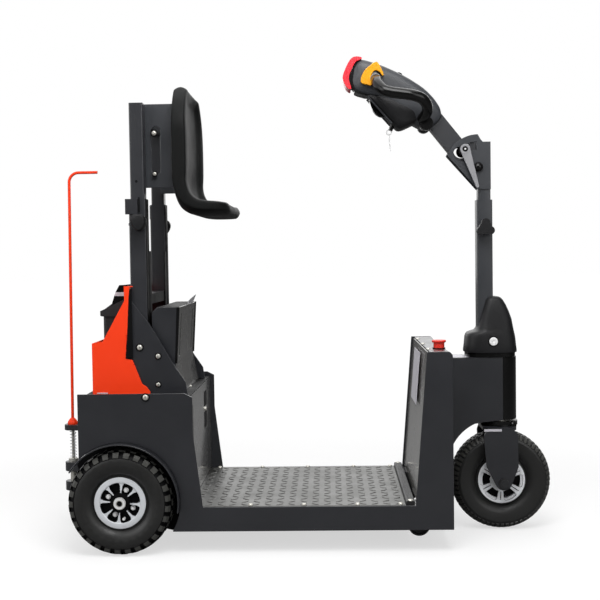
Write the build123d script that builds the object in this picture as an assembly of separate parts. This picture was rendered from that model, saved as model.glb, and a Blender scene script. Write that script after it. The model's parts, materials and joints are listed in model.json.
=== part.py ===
from build123d import *
import math
import os

# A towing tug on three pneumatic wheels: a steel body with a tread deck to stand on, a seat on a
# telescopic mast at the rear, a tilting tiller on a telescopic steering post, and a rear tow hitch.
# Millimetres; x forward, y to the left, z up from the floor; the origin is on the floor under the
# middle of the machine. Angles are in degrees. A pair of values is an offset in x and z unless it
# says otherwise.

# Wheels
tyre_radius = 134.0
tyre_width = 84.0
tyre_shoulder_drop = 9.0
tyre_shoulder_inset = 6.0
tyre_wall_rise = 13.0
tyre_wall_lean = 1.0
tyre_tread_inset = 16.0
tyre_sides = 60
tyre_bead_gap = 0.3
rear_axle_x = -461.0
wheelbase = 990.0
wheel_track = 466.0
rear_flange_radius = 65.0
front_flange_radius = 63.0
rim_seat_radius = 51.0
rim_width = 60.0
rim_wall = 3.0
rim_disc_inset = 8.0
rim_disc_lip = 2.0
hub_radius = 21.0
spoke_root_width = 4.0
spoke_corner = 3.0
rear_spoke_count = 8
rear_spoke_width = 7.0
front_spoke_count = 5
front_spoke_width = 6.0
front_spoke_spread = 14.0
axle_radius = 10.0
shaft_clearance = 0.05
axle_cap_radius = 15.0
axle_cap_bore = 7.0
axle_cap_length = 7.0
axle_cap_reach = 8.0
axle_collar_radius = 16.0
axle_collar_length = 8.0
axle_collar_gap = 1.0

# Anti-tip rollers
roller_setback = 83.0
roller_inset = 60.0
roller_radius = 28.0
roller_width = 24.0
roller_hub_radius = 13.0
roller_web_radius = 23.0
roller_groove = 4.0
roller_groove_slope = 1.4
roller_edge = 2.0
roller_ground_gap = 29.0
roller_pin_radius = 5.0
roller_pin_reach = 6.0
roller_side_gap = 5.0
roller_arm_thickness = 4.0
roller_arm_half = 20.0
roller_arm_end_half = 11.0
roller_arm_cheek = 6.0

# Body sheet metal
body_half_width = 250.0
side_thickness = 4.0
panel_thickness = 3.0
rear_overhang = 105.0
column_setback = 154.0
housing_length = 290.0
housing_top_z = 407.0
housing_bevel = (20.0, 10.0)
housing_slope_top_z = 302.0
housing_slope_run = 22.0
rail_bottom_z = 57.0
rail_drop = 1.0
column_depth = 95.0
column_lean = 31.0
column_top_z = 504.0
column_bevel = 8.0
column_panel_inset = 5.0
column_top_drop = 1.0
column_top_setback = 9.0
arch_gap = 16.0
arch_mouth_inset = 20.0
arch_mouth_drop = 27.0
arch_lip_width = 22.0
arch_lip_thickness = 4.0
arch_lip_angles = (-10.0, 148.0)
shelf_drop = 13.0
front_panel_inset = 12.0
panel_slot_y = 150.0
panel_slot_width = 10.0
panel_slot_z = (259.0, 364.0)
rear_panel_low_z = 92.0
rear_panel_wheel_gap = 12.0
wheel_box_gap = 10.0
wheel_box_low_z = 209.0
seam_gap = 0.3

# Deck and frame
deck_top_z = 120.0
deck_thickness = 4.0
deck_side_gap = 1.0
toe_strip_size = (22.0, 10.0)
toe_strip_gap = 2.0
toe_strip_round = 3.0
frame_rail_width = 30.0
frame_wall = 4.0
frame_lift = 5.0
frame_front_gap = 4.0
cross_member_width = 40.0
cross_member_spacing = (0.0, 262.0, 496.0)
frame_rear_gap = 6.0
rear_rail_y = 150.0
rear_rail_size = (24.0, 36.0)
rear_rail_drop_depth = 12.0
axle_tube_radius = 30.0
axle_tube_end_gap = 12.0
drive_case_radius = 70.0
drive_case_width = 96.0
drive_case_round = 8.0
motor_radius = 48.0
motor_length = 98.0
motor_overlap = 12.0

# Seat mast
mast_offset = 44.0
mast_y = 158.0
mast_tube = 44.0
mast_inner_tube = 36.0
mast_top_z = 898.0
mast_inner_bottom_z = 560.0
mast_inner_top_z = 1143.0
tube_wall = 3.5
tube_corner = 4.0
crossbar_z = (626.0, 653.0)
crossbar_setback = 4.0
crossbar_depth = 37.0
gusset_thickness = 4.0
gusset_rear = 23.0
gusset_edge = ((-23.0, 248.0), (26.0, 184.0), (92.0, 70.0), (117.0, 33.0))
gusset_foot = 121.0
clamp_height = 39.0
clamp_rear = 8.0
clamp_front = 24.0
clamp_thickness = 6.0
mast_knob_offset = 3.0
mast_knob_drop = 64.0
knob_radius = 25.0
knob_lobe_radius = 11.0
knob_web = 3.0
knob_lobe_angles = (90.0, 210.0, 330.0)
knob_thickness = 24.0
knob_stem_length = 14.0
stud_radius = 7.0

# Seat
seat_offset = 89.0
seat_bottom_z = 846.0
seat_height = 348.0
seat_depth = 173.0
seat_half_width = 195.0
seat_heel_radius = 78.0
seat_nose = ((-3.0, 2.0), (0.0, 14.0), (-23.0, 32.0))
seat_pan_end = (82.0, 40.0)
seat_elbow = (56.0, 62.0)
seat_wing_foot = (46.0, 104.0)
seat_wing_depth = 41.0
seat_wing_round = 20.0
seat_crown_drop = 22.0
seat_skin = 22.0
seat_wing = 46.0
seat_hollow_knee = ((0.0, 82.0), (16.0, 27.0), (62.0, 0.0))
seat_hollow_fall = 6.0
seat_shoulder = ((8.0, -6.0), (0.0, 74.0), (8.0, 214.0), (38.0, 314.0), (80.0, 347.0))
seat_crown_rise = 5.0
bracket_y = 126.0
bracket_thickness = 4.0
bracket_offset = 12.0
bracket_rise = (83.0, 299.0)
bracket_slot_rise = (117.0, 241.0)
bracket_slot_width = 24.0
bracket_slot_setback = 46.0
bracket_back_margin = 20.0
bracket_tie_rise = 264.0
bracket_tie_size = 28.0

# Control box behind the rider's legs
control_half_width = 168.0
control_offset = 29.0
control_depth = 71.0
control_height = 226.0
control_bevel = 14.0
control_kink = (61.0, 74.0)
control_foot = 76.0
control_slot_y = 112.0
control_slot_width = 8.0
control_slot_depth = 5.0
control_slot_margin = (22.0, 20.0)

# Battery and its tray
tray_y = 188.0
tray_length = 91.0
tray_rear_margin = 26.0
tray_sheet = 3.0
tray_rear_rise = 136.0
tray_top_rise = 248.0
tray_wall_rise = 281.0
tray_shoulder = (28.0, 140.0)
tray_foot = ((0.0, 94.0), (13.0, 92.0), (37.0, 30.0), (47.0, 24.0), (57.0, 11.0))
tray_edge_gap = 3.0
battery_half_width = 112.0
battery_margin = (14.0, 9.0)
battery_corner = 8.0
battery_lid_rise = (201.0, 216.0)
battery_lid_lip = 6.0
battery_lid_corner = 12.0
battery_grip = ((-4.0, 0.0), (24.0, 20.0), (36.0, 52.0), (49.0, 66.0), (70.0, 68.0))
battery_grip_inset = 20.0
battery_grip_opening = (58.0, 16.0)

# Hitch
hitch_reach = 75.0
hitch_half_width = 34.0
hitch_end_radius = 22.0
hitch_plate_margin = 14.0
hitch_plate_low_z = 100.0
hitch_plate_rise = 8.0
hitch_back_plate = 9.0
guide_inset = 10.0
guide_z = (278.0, 293.0)
upper_jaw_z = (165.0, 190.0)
lower_jaw_z = (112.0, 137.0)
pin_radius = 9.0
pin_bottom_z = 108.0
pin_chamfer = 3.0
pin_collar_radius = 13.0
pin_collar_height = 8.0
rod_radius = 4.0
rod_socket = 6.0
rod_top_z = 986.0
rod_lean = 6.0
rod_bend_radius = 26.0
rod_handle_length = 84.0
rod_cap_radius = 14.0
rod_cap_height = 17.0
rod_cap_dome = ((14.0, 4.0), (9.0, 13.0), (5.0, 17.0))
rod_fit = 0.02
spring_radius = 8.0
spring_wire = 1.1
spring_turns = 9

# Steering head
trail = 2.0
neck_half_width = 47.0
neck_top_z = 468.0
neck_gap = 17.0
neck_wall = 4.0
neck_arch = ((145.0, 29.7), (128.0, 36.4), (115.2, 37.9))
neck_skirt_drop = 16.0
neck_nose_step = (47.0, 5.0)
neck_nose_front = 4.0
stem_radius = 20.0
stem_top = 13.0
head_tube_radius = 29.0
head_tube_reach = (5.0, 6.0)
fork_leg_gap = 22.0
fork_leg_thickness = 6.0
fork_half_length = 45.0
fork_setback = 7.0
fork_shoulder = ((-46.0, 44.0), (39.0, 43.0))
fork_end = (20.0, 8.0, 20.0)
fork_corner = 28.0
crown_gap = 5.5
crown_thickness = 8.5
axle_head_size = 15.0
axle_head_length = 9.0
axle_spacer_radius = 14.0
axle_spacer_gap = 1.0
boot_rear = 95.0
boot_gap = 13.0
boot_length = 142.0
boot_height = 150.0
boot_half_width = 56.0
boot_ledge = ((4.0, 48.0), (9.0, 55.0), (23.0, 59.0))
boot_crest = ((51.0, 141.0), (64.0, 150.0), (82.0, 145.0))
boot_nose = ((116.0, 99.0), (130.0, 49.0))
boot_foot_corner = 30.0
boot_top_size = (92.0, 66.0)
boot_top_corner = 18.0
boot_top_offset = 12.0
boot_stem_room = (8.0, 12.0)

# Steering post and tilt joint
post_setback = 37.0
post_tube = 42.0
post_inner_tube = 34.0
post_top_z = 890.0
post_inner_bottom_z = 620.0
post_foot = (8.0, 4.0)
post_hub_wall = 7.0
post_hub_rise = 10.0
post_knob_setback = 2.0
post_knob_drop = 76.0
tilt_setback = 17.0
tilt_z = 977.0
tilt_plate_thickness = 4.0
tilt_plate_radius = 88.0
tilt_plate_angles = (90.0, 124.0, 158.0)
tilt_plate_drop = 59.0
tilt_plate_notch = ((13.0, 68.0), (7.0, 75.0))
tilt_slot_radius = 58.0
tilt_slot_width = 22.0
tilt_slot_angles = (93.0, 142.0)
tilt_slot_end = 20.0
tilt_pin_radius = 6.0
tilt_pin_reach = 5.0
tilt_arm_gap = 5.0

# Tiller, with every offset taken from the tilt pivot
arm_angle = 128.5
arm_depth = 50.0
arm_offset = -10.0
arm_width = 33.0
arm_start = 14.0
arm_length = 184.0
arm_wall = 3.0
arm_core_start = 30.0
arm_window = (63.0, 3.0, 20.0)
clamp_bolt_angle = 126.0
clamp_bolt_radius = 5.0
clamp_bolt_reach = (14.0, 8.0)
clamp_washer = (16.0, 6.0)
clamp_far_washer = (13.0, 5.0)
lever_length = 104.0
lever_angle = -72.0
lever_root_radius = 12.0
lever_tip_radius = 5.0
lever_thickness = 7.0
head_half_width = 43.0
head_round = 9.0
head_back = ((-323.0, 295.0), (-271.0, 286.0), (-211.0, 261.0), (-148.0, 215.0), (-107.0, 174.0),
             (-94.0, 144.0))
head_belly = ((-123.0, 103.0), (-161.0, 115.0), (-211.0, 103.0), (-251.0, 140.0), (-277.0, 154.0),
              (-288.0, 183.0), (-327.0, 197.0), (-340.0, 210.0))
head_plan_half = ((-355.0, 30.0), (-323.0, 41.0), (-253.0, 43.0), (-173.0, 43.0), (-121.0, 30.0),
                  (-87.0, 21.0))
belly_button_outer = ((-342.0, 209.0), (-361.0, 244.0), (-345.0, 283.0), (-325.0, 300.0),
                      (-305.0, 296.0))
belly_button_inner = ((-323.3, 295.3), (-340.3, 210.0))
belly_button_half = 34.0
throttle_hub = (-277.0, 245.0)
throttle_half_width = 58.0
throttle_hub_radius = 11.0
throttle_inset = 3.0
throttle_head_gap = 2.0
throttle_edge = ((-313.0, 227.0), (-301.0, 255.0), (-273.0, 281.0), (-260.0, 270.0),
                 (-249.0, 249.0), (-267.0, 247.0), (-285.0, 215.0))
loop_tube_radius = 16.0
loop_shoulder_y = 84.0
loop_reach = 112.0
loop_root = (-148.0, 125.0)
loop_root_y = 36.0
loop_low = ((1.0, 0.0), (10.0, -38.0), (66.0, -56.0))
loop_high = ((8.0, 46.0), (0.0, 0.0))
loop_spread = (0.0, 0.0, 3.0, -6.0, -40.0)
loop_bend_radii = (20.0, 26.0, 60.0, 26.0, 24.0)
key_radius = 9.0
key_place = (-223.0, 106.0)
key_barrel = (10.0, 6.0)
key_bow = (-8.0, -16.0, 7.0, 2.0)

# Stop button on the column
stop_button_y = -150.0
stop_button_setback = 30.0
stop_button_height = 23.0
stop_button_radius = 19.0
stop_button_rim = (11.0, 17.0)
stop_collar = (14.0, 8.0)

# Places that follow from the sizes above
front_axle_x = rear_axle_x + wheelbase
steering_x = front_axle_x - trail
body_rear_x = rear_axle_x - rear_overhang
body_front_x = front_axle_x - column_setback
plate_inner_y = body_half_width - side_thickness
housing_front_x = body_rear_x + housing_length
housing_panel_x = housing_front_x - front_panel_inset
shelf_z = housing_top_z - shelf_drop
shelf_top_z = shelf_z + seam_gap
rail_top_z = deck_top_z - rail_drop
deck_half_width = plate_inner_y - deck_side_gap
deck_under_z = deck_top_z - deck_thickness
frame_bottom_z = rail_bottom_z + frame_lift
frame_rear_x = housing_panel_x + frame_rear_gap
column_foot_x = body_front_x - column_depth
column_top_x = column_foot_x + column_lean
toe_strip_x = column_foot_x - toe_strip_gap - toe_strip_size[0]
arch_radius = tyre_radius + arch_gap
wheel_roof_z = tyre_radius + arch_radius
roller_x = body_front_x - roller_setback
roller_y = body_half_width - roller_inset
roller_z = roller_ground_gap + roller_radius
mast_x = rear_axle_x + mast_offset
mast_outer_y = mast_y + mast_tube / 2
seat_back_x = mast_x + seat_offset
seat_front_x = seat_back_x + seat_depth
seat_top_z = seat_bottom_z + seat_height
tray_rear_x = body_rear_x + tray_rear_margin
tray_front_x = tray_rear_x + tray_length
battery_rear_x = tray_rear_x + battery_margin[0]
battery_front_x = tray_front_x - battery_margin[1]
hitch_x = body_rear_x - hitch_reach
crown_low_z = 2 * tyre_radius + crown_gap
crown_high_z = crown_low_z + crown_thickness
fork_inner_y = tyre_width / 2 + fork_leg_gap
fork_outer_y = fork_inner_y + fork_leg_thickness
fork_middle_x = front_axle_x - fork_setback
neck_low_z = crown_high_z + neck_gap
boot_x = steering_x - boot_rear
boot_low_z = neck_top_z + boot_gap
post_x = steering_x - post_setback
post_foot_z = neck_top_z + post_foot[0]
stem_top_z = neck_top_z + stem_top
tilt_x = post_x - tilt_setback
stop_button_x = body_front_x - stop_button_setback


def block(x_span, y_span, z_span):
    """A rectangular block between two limits along each axis."""
    spans = (x_span, y_span, z_span)
    middle = [(low + high) / 2 for low, high in spans]
    return Pos(*middle) * Box(*[high - low for low, high in spans])


def outline(points):
    """A flat face inside a closed run of straight lines."""
    return make_face(Polyline(*points, close=True))


def shifted(points, x, z):
    """Offsets turned into places, measured from one point."""
    return [(x + dx, z + dz) for dx, dz in points]


def polar(radius, angle, x=0.0, z=0.0):
    """The point at a distance and a direction from another."""
    turn = math.radians(angle)
    return (x + radius * math.cos(turn), z + radius * math.sin(turn))


def wedge(reach, low, high):
    """A flat face between two directions from the origin."""
    return outline([(0, 0), polar(reach, low), polar(reach * 2, (low + high) / 2), polar(reach, high)])


def slab(face, low_y, high_y):
    """A face drawn in x and z, made solid between two values of y."""
    return Pos(0, high_y, 0) * extrude(Plane.XZ * face, high_y - low_y, dir=(0, -1, 0))


def column(face, low_z, high_z):
    """A face drawn in x and y, made solid between two heights."""
    return Pos(0, 0, low_z) * extrude(face, high_z - low_z, dir=(0, 0, 1))


def bar_along_x(face, low_x, high_x):
    """A face drawn in y and z, made solid between two values of x."""
    return Pos(low_x, 0, 0) * extrude(Plane.YZ * face, high_x - low_x, dir=(1, 0, 0))


def rod_along_y(radius, x, z, low_y, high_y):
    """A round bar across the machine."""
    return slab(Pos(x, z) * Circle(radius), low_y, high_y)


def rod_along_z(radius, x, y, low_z, high_z):
    """A round upright bar."""
    return column(Pos(x, y) * Circle(radius), low_z, high_z)


def square_tube(side, x, y, low_z, high_z):
    """An upright square tube with rounded corners."""
    bore = side - 2 * tube_wall
    section = RectangleRounded(side, side, tube_corner) - RectangleRounded(bore, bore, tube_corner / 2)
    return column(Pos(x, y) * section, low_z, high_z)


def both_sides(shape):
    """A shape and its mirror image across the middle of the machine."""
    return shape, mirror(shape, Plane.XZ)


# Wheels

def tyre(flange_radius):
    """Pneumatic tyre, axis along y: bulging walls, sloped shoulders and a flat tread, many-sided."""
    bead = rim_width / 2 - rim_wall - tyre_bead_gap
    flange = flange_radius + tyre_bead_gap
    half = tyre_width / 2
    shoulder = tyre_radius - tyre_shoulder_drop
    widest = (flange + shoulder) / 2
    half_section = [
        (flange, bead), (widest - tyre_wall_rise, half),
        (widest + tyre_wall_rise, half - tyre_wall_lean), (shoulder, half - tyre_shoulder_inset),
        (tyre_radius, half - tyre_tread_inset),
    ]
    section = [(radius, -across) for radius, across in half_section]
    section += [(radius, across) for radius, across in reversed(half_section)]
    rings = [Plane.XZ.offset(across) * RegularPolygon(radius, tyre_sides)
             for radius, across in section]
    seat = rod_along_y(rim_seat_radius + tyre_bead_gap, 0, 0, -half, half)
    return loft(rings, ruled=True) - seat


def spoke_windows(inner, outer, count, width, spread):
    """The openings between spokes, drawn flat around the wheel's axis."""
    windows = Circle(outer) - Circle(inner)
    reach = (inner + outer) / 2
    for turn in range(count):
        middle = 360 * turn / count
        for tilt in {-spread, spread}:
            windows -= Rot(0, 0, middle + tilt) * Pos(reach, 0) * Rectangle(reach * 2, width)
    return fillet(windows.vertices(), spoke_corner) if spread == 0 else windows


def rim(flange_radius, count, width, spread):
    """Cast rim, axis along y: flanged barrel, spoked disc and a bored hub."""
    half = rim_width / 2
    inner_wall = rim_seat_radius - rim_wall
    barrel = outline([
        (inner_wall, -half), (flange_radius, -half), (flange_radius, -half + rim_wall),
        (rim_seat_radius, -half + rim_wall), (rim_seat_radius, half - rim_wall),
        (flange_radius, half - rim_wall), (flange_radius, half), (inner_wall, half),
    ])
    disc_half = half - rim_disc_inset
    edge_half = half - rim_disc_lip
    disc = outline([
        (hub_radius - rim_disc_lip, -disc_half), (inner_wall + rim_disc_lip, -edge_half),
        (inner_wall + rim_disc_lip, edge_half), (hub_radius - rim_disc_lip, disc_half),
    ])
    bore = axle_radius + shaft_clearance
    hub = outline([(bore, -half), (hub_radius, -half), (hub_radius, half), (bore, half)])
    body = revolve(barrel, Axis.Y) + revolve(disc, Axis.Y)
    openings = spoke_windows(hub_radius + spoke_root_width, inner_wall - rim_wall, count, width,
                             spread)
    return body - slab(openings, -half, half) + revolve(hub, Axis.Y)


def roller():
    """Small anti-tip wheel, axis along y, grooved between its tread and its hub."""
    half = roller_width / 2
    bore = roller_pin_radius + shaft_clearance
    right = [
        (bore, half), (roller_hub_radius, half),
        (roller_hub_radius + roller_groove_slope, half - roller_groove),
        (roller_web_radius - roller_groove_slope, half - roller_groove), (roller_web_radius, half),
        (roller_radius - roller_edge, half), (roller_radius, half - roller_edge),
    ]
    left = [(radius, -across) for radius, across in reversed(right)]
    return revolve(outline(right + left), Axis.Y)


# Body panels and frame

def side_plate():
    """Right-hand side in one plate: housing, low rail and column, with its wheel arch cut out."""
    step_x, step_z = housing_bevel
    face = outline([
        (body_rear_x, rail_bottom_z), (body_rear_x, housing_top_z),
        (housing_front_x - step_x, housing_top_z), (housing_front_x, housing_top_z - step_z),
        (housing_front_x, housing_slope_top_z), (housing_front_x + housing_slope_run, rail_top_z),
        (column_foot_x, rail_top_z), (column_top_x, column_top_z),
        (body_front_x - column_bevel, column_top_z), (body_front_x, column_top_z - column_bevel),
        (body_front_x, rail_bottom_z),
    ])
    plate = slab(face, -body_half_width, -plate_inner_y)
    arch = rod_along_y(arch_radius, rear_axle_x, tyre_radius, -body_half_width, -plate_inner_y)
    mouth = block((body_rear_x, rear_axle_x + arch_radius - arch_mouth_inset),
                  (-body_half_width, -plate_inner_y), (0, tyre_radius - arch_mouth_drop))
    return plate - arch - mouth


def arch_lip():
    """Right-hand mudguard lip, rolled round the wheel arch."""
    ring = Circle(arch_radius - seam_gap) - Circle(arch_radius - arch_lip_thickness)
    lip = Pos(rear_axle_x, tyre_radius) * (ring & wedge(arch_radius * 2, *arch_lip_angles))
    return slab(lip, -body_half_width - arch_lip_width, -plate_inner_y)


def c_channel(depth, height, length):
    """A channel lying along x, its back at y = 0 and its mouth towards +y."""
    section = Pos(depth / 2, height / 2) * Rectangle(depth, height)
    section -= Pos(depth / 2 + frame_wall, height / 2) * Rectangle(depth, height - 2 * frame_wall)
    return bar_along_x(section, 0, length)


def frame_channel():
    """Right-hand side channel of the underframe."""
    length = body_front_x - frame_front_gap - frame_rear_x
    channel = c_channel(frame_rail_width, deck_under_z - frame_bottom_z, length)
    return Pos(frame_rear_x, -plate_inner_y, frame_bottom_z) * channel


def deck_frame():
    """Cross members between the side channels, and the rear axle rails welded to the first."""
    half = cross_member_width / 2
    reach = plate_inner_y - frame_rail_width - seam_gap
    frame = Part()
    for spacing in cross_member_spacing:
        x = frame_rear_x + half + spacing
        member = block((x - half, x + half), (-reach, reach), (frame_bottom_z, deck_under_z))
        inside = block((x - half + frame_wall, x + half - frame_wall), (-reach, reach),
                       (frame_bottom_z, deck_under_z - frame_wall))
        frame += member - inside
    width, rise = rear_rail_size
    rail_y = (rear_rail_y - width / 2, rear_rail_y + width / 2)
    low = tyre_radius + axle_tube_radius + seam_gap
    front_x = housing_panel_x - panel_thickness - seam_gap
    drop_x = front_x - rear_rail_drop_depth
    foot_top = deck_under_z - frame_wall - panel_thickness
    rail = block((body_rear_x + panel_thickness, front_x), rail_y, (low, low + rise))
    drop = block((drop_x, front_x), rail_y, (frame_bottom_z, low + rise))
    foot = block((drop_x, frame_rear_x + frame_wall), rail_y, (frame_bottom_z, foot_top))
    return frame + list(both_sides(rail + drop + foot))


def deck_plate():
    """Tread deck between the side plates, from the housing's panel to the toe strip."""
    return block((housing_panel_x + seam_gap, toe_strip_x - seam_gap),
                 (-deck_half_width, deck_half_width), (deck_under_z, deck_top_z))


def toe_strip():
    """Low bar that closes the front of the deck."""
    depth, height = toe_strip_size
    bar = block((toe_strip_x, toe_strip_x + depth), (-deck_half_width, deck_half_width),
                (deck_under_z, deck_top_z + height))
    top_edges = bar.edges().filter_by(Axis.Y).group_by(Axis.Z)[-1]
    return fillet(top_edges, toe_strip_round)


def housing_front_panel():
    """Upright panel ahead of the rear housing, with two long slots."""
    x = housing_panel_x
    panel = block((x - panel_thickness, x), (-plate_inner_y, plate_inner_y),
                  (deck_under_z, shelf_z - panel_thickness))
    half = panel_slot_width / 2
    slot = block((x - panel_thickness, x), (panel_slot_y - half, panel_slot_y + half), panel_slot_z)
    for cut in both_sides(slot):
        panel -= cut
    return panel


def housing_rear_panel():
    """Rear closing panel, narrowed between the wheels."""
    top = shelf_z - panel_thickness
    narrow = wheel_track / 2 - tyre_width / 2 - rear_panel_wheel_gap
    half = [(plate_inner_y, top), (plate_inner_y, wheel_roof_z), (narrow, wheel_roof_z),
            (narrow, rear_panel_low_z)]
    mirrored = [(-y, z) for y, z in reversed(half)]
    return bar_along_x(outline(half + mirrored), body_rear_x, body_rear_x + panel_thickness)


def housing_shelf():
    """Flat top of the rear housing."""
    return block((body_rear_x, housing_panel_x), (-plate_inner_y, plate_inner_y),
                 (shelf_z - panel_thickness, shelf_z))


def wheel_box():
    """Inner wall and roof over the right rear wheel."""
    inner_y = wheel_track / 2 - tyre_width / 2 - wheel_box_gap
    x_span = (body_rear_x + panel_thickness, housing_panel_x - panel_thickness)
    wall = block(x_span, (-inner_y, -inner_y + panel_thickness),
                 (wheel_box_low_z, shelf_z - panel_thickness))
    roof = block(x_span, (-plate_inner_y, -inner_y), (wheel_roof_z, wheel_roof_z + panel_thickness))
    return wall + roof


def rear_axle():
    """Fixed rear axle bar with inner collars and hollow end caps."""
    reach = wheel_track / 2 + rim_width / 2 + axle_cap_reach
    inner = wheel_track / 2 - rim_width / 2 - axle_collar_gap
    place = (rear_axle_x, tyre_radius)
    bar = rod_along_y(axle_radius, *place, -reach, reach)
    collar = rod_along_y(axle_collar_radius, *place, inner - axle_collar_length, inner)
    cap = rod_along_y(axle_cap_radius, *place, reach - axle_cap_length, reach)
    recess = rod_along_y(axle_cap_bore, *place, reach - axle_cap_length / 2, reach)
    axle = bar + list(both_sides(collar)) + list(both_sides(cap))
    for cut in both_sides(recess):
        axle -= cut
    return axle


def drive_unit():
    """Electric transaxle: round gear case, axle tubes and a motor lying forward."""
    half = drive_case_width / 2
    case = rod_along_y(drive_case_radius, rear_axle_x, tyre_radius, -half, half)
    case = fillet(case.edges().filter_by(GeomType.CIRCLE), drive_case_round)
    reach = wheel_track / 2 - rim_width / 2 - axle_tube_end_gap
    tubes = rod_along_y(axle_tube_radius, rear_axle_x, tyre_radius, -reach, reach)
    start = rear_axle_x + drive_case_radius - motor_overlap
    motor = bar_along_x(Pos(0, tyre_radius) * Circle(motor_radius), start, start + motor_length)
    hole = rod_along_y(axle_radius, rear_axle_x, tyre_radius, -reach, reach)
    return case + tubes + motor - hole


def roller_bracket():
    """Right-hand fork that carries the anti-tip roller under the deck."""
    inner = roller_width / 2 + roller_side_gap
    outer = inner + roller_arm_thickness
    arm = outline([
        (roller_x - roller_arm_half, deck_under_z), (roller_x + roller_arm_half, deck_under_z),
        (roller_x + roller_arm_end_half, roller_z - roller_arm_cheek),
        (roller_x, roller_z - roller_arm_end_half),
        (roller_x - roller_arm_end_half, roller_z - roller_arm_cheek),
    ])
    bridge = block((roller_x - roller_arm_half, roller_x + roller_arm_half),
                   (-roller_y - inner, -roller_y + inner),
                   (deck_under_z - roller_arm_thickness, deck_under_z))
    reach = inner + roller_pin_reach
    pin = rod_along_y(roller_pin_radius, roller_x, roller_z, -roller_y - reach, -roller_y + reach)
    far_arm = slab(arm, -roller_y - outer, -roller_y - inner)
    near_arm = slab(arm, -roller_y + inner, -roller_y + outer)
    return far_arm + near_arm + bridge + pin


# Column

def column_rear_panel():
    """Sloping panel facing the rider, set inside the side plates."""
    foot_x = column_foot_x + column_panel_inset
    top_x = column_top_x + column_panel_inset
    top_z = column_top_z - panel_thickness - column_top_drop
    face = outline([(foot_x, deck_top_z), (top_x, top_z), (top_x + panel_thickness, top_z),
                    (foot_x + panel_thickness, deck_top_z)])
    return slab(face, -plate_inner_y, plate_inner_y)


def column_front_panel():
    """Flat front of the column, from the frame to the top plate."""
    return block((body_front_x - panel_thickness, body_front_x), (-plate_inner_y, plate_inner_y),
                 (rail_bottom_z, column_top_z - column_bevel))


def column_top():
    """Top plate of the column."""
    high = column_top_z - column_top_drop
    return block((column_top_x + column_top_setback, body_front_x - column_bevel),
                 (-plate_inner_y, plate_inner_y), (high - panel_thickness, high))


def stop_button():
    """Mushroom stop button on a short collar."""
    collar_radius, collar_height = stop_collar
    rim_low, rim_high = stop_button_rim
    edge = Polyline((0, stop_button_height), (0, 0), (collar_radius, 0),
                    (collar_radius, collar_height), (stop_button_radius, rim_low),
                    (stop_button_radius, rim_high))
    crown = TangentArc((0, stop_button_height), (stop_button_radius, rim_high), tangent=(1, 0))
    knob = revolve(Plane.XZ * make_face(edge + crown), Axis.Z)
    return Pos(stop_button_x, stop_button_y, column_top_z - column_top_drop) * knob


# Steering head

def neck_plan(offset):
    """Plan of the neck: straight sides and a round nose about the steering axis."""
    half = neck_half_width - offset
    length = steering_x - body_front_x
    straight = Pos(body_front_x + length / 2, 0) * Rectangle(length, 2 * half)
    return straight + Pos(steering_x, 0) * Circle(half)


def neck_shell():
    """Round-nosed housing round the head tube, its lower edge arched over the front wheel."""
    arch = [polar(tyre_radius + gap, angle, front_axle_x, tyre_radius) for angle, gap in neck_arch]
    skirt_z = arch[0][1] - neck_skirt_drop
    outer = column(neck_plan(0), skirt_z, neck_top_z)
    inner = column(neck_plan(neck_wall), skirt_z, neck_top_z - neck_wall)
    step = (steering_x - neck_nose_step[0], neck_low_z - neck_nose_step[1])
    front = steering_x + neck_half_width + neck_wall
    below = skirt_z - neck_wall
    edges = Polyline(arch[2], step, (steering_x + neck_nose_front, neck_low_z), (front, neck_low_z),
                     (front, below), (body_front_x, below), (body_front_x, skirt_z), arch[0])
    under = slab(make_face(ThreePointArc(*arch) + edges), -neck_half_width, neck_half_width)
    opening = rod_along_z(head_tube_radius, steering_x, 0, neck_low_z, neck_top_z)
    return outer - inner - under - opening


def head_tube():
    """Bearing tube for the steering stem, reaching out of the neck at both ends."""
    below, above = head_tube_reach
    tube = rod_along_z(head_tube_radius - seam_gap, steering_x, 0, neck_low_z - below,
                       neck_top_z + above)
    bore = rod_along_z(stem_radius + shaft_clearance, steering_x, 0, neck_low_z - below,
                       neck_top_z + above)
    return tube - bore


def fork():
    """Steering fork: crown, stem and two legs that narrow to rounded ends."""
    rear_x, front_x = fork_middle_x - fork_half_length, fork_middle_x + fork_half_length
    shoulder_z = crown_high_z - fork_corner
    end_half, end_rise, end_drop = fork_end
    end_rear = (front_axle_x - end_half, tyre_radius - end_rise)
    end_front = (front_axle_x + end_half, tyre_radius - end_rise)
    rear_shoulder, front_shoulder = shifted(fork_shoulder, front_axle_x, tyre_radius)
    leg_edge = [
        Polyline((rear_x, shoulder_z), rear_shoulder, end_rear),
        ThreePointArc(end_rear, (front_axle_x, tyre_radius - end_drop), end_front),
        Polyline(end_front, front_shoulder, (front_x, shoulder_z)),
        RadiusArc((front_x, shoulder_z), (front_x - fork_corner, crown_high_z), -fork_corner),
        Line((front_x - fork_corner, crown_high_z), (rear_x + fork_corner, crown_high_z)),
        RadiusArc((rear_x + fork_corner, crown_high_z), (rear_x, shoulder_z), -fork_corner),
    ]
    leg = slab(make_face(Curve() + leg_edge), -fork_outer_y, -fork_inner_y)
    hole = rod_along_y(axle_radius + shaft_clearance, front_axle_x, tyre_radius, -fork_outer_y,
                       fork_outer_y)
    plan = RectangleRounded(2 * fork_half_length, 2 * fork_outer_y, fork_corner)
    crown = column(Pos(fork_middle_x, 0) * plan, crown_low_z, crown_high_z)
    stem = rod_along_z(stem_radius, steering_x, 0, crown_low_z, stem_top_z)
    return crown + stem + list(both_sides(leg)) - hole


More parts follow.
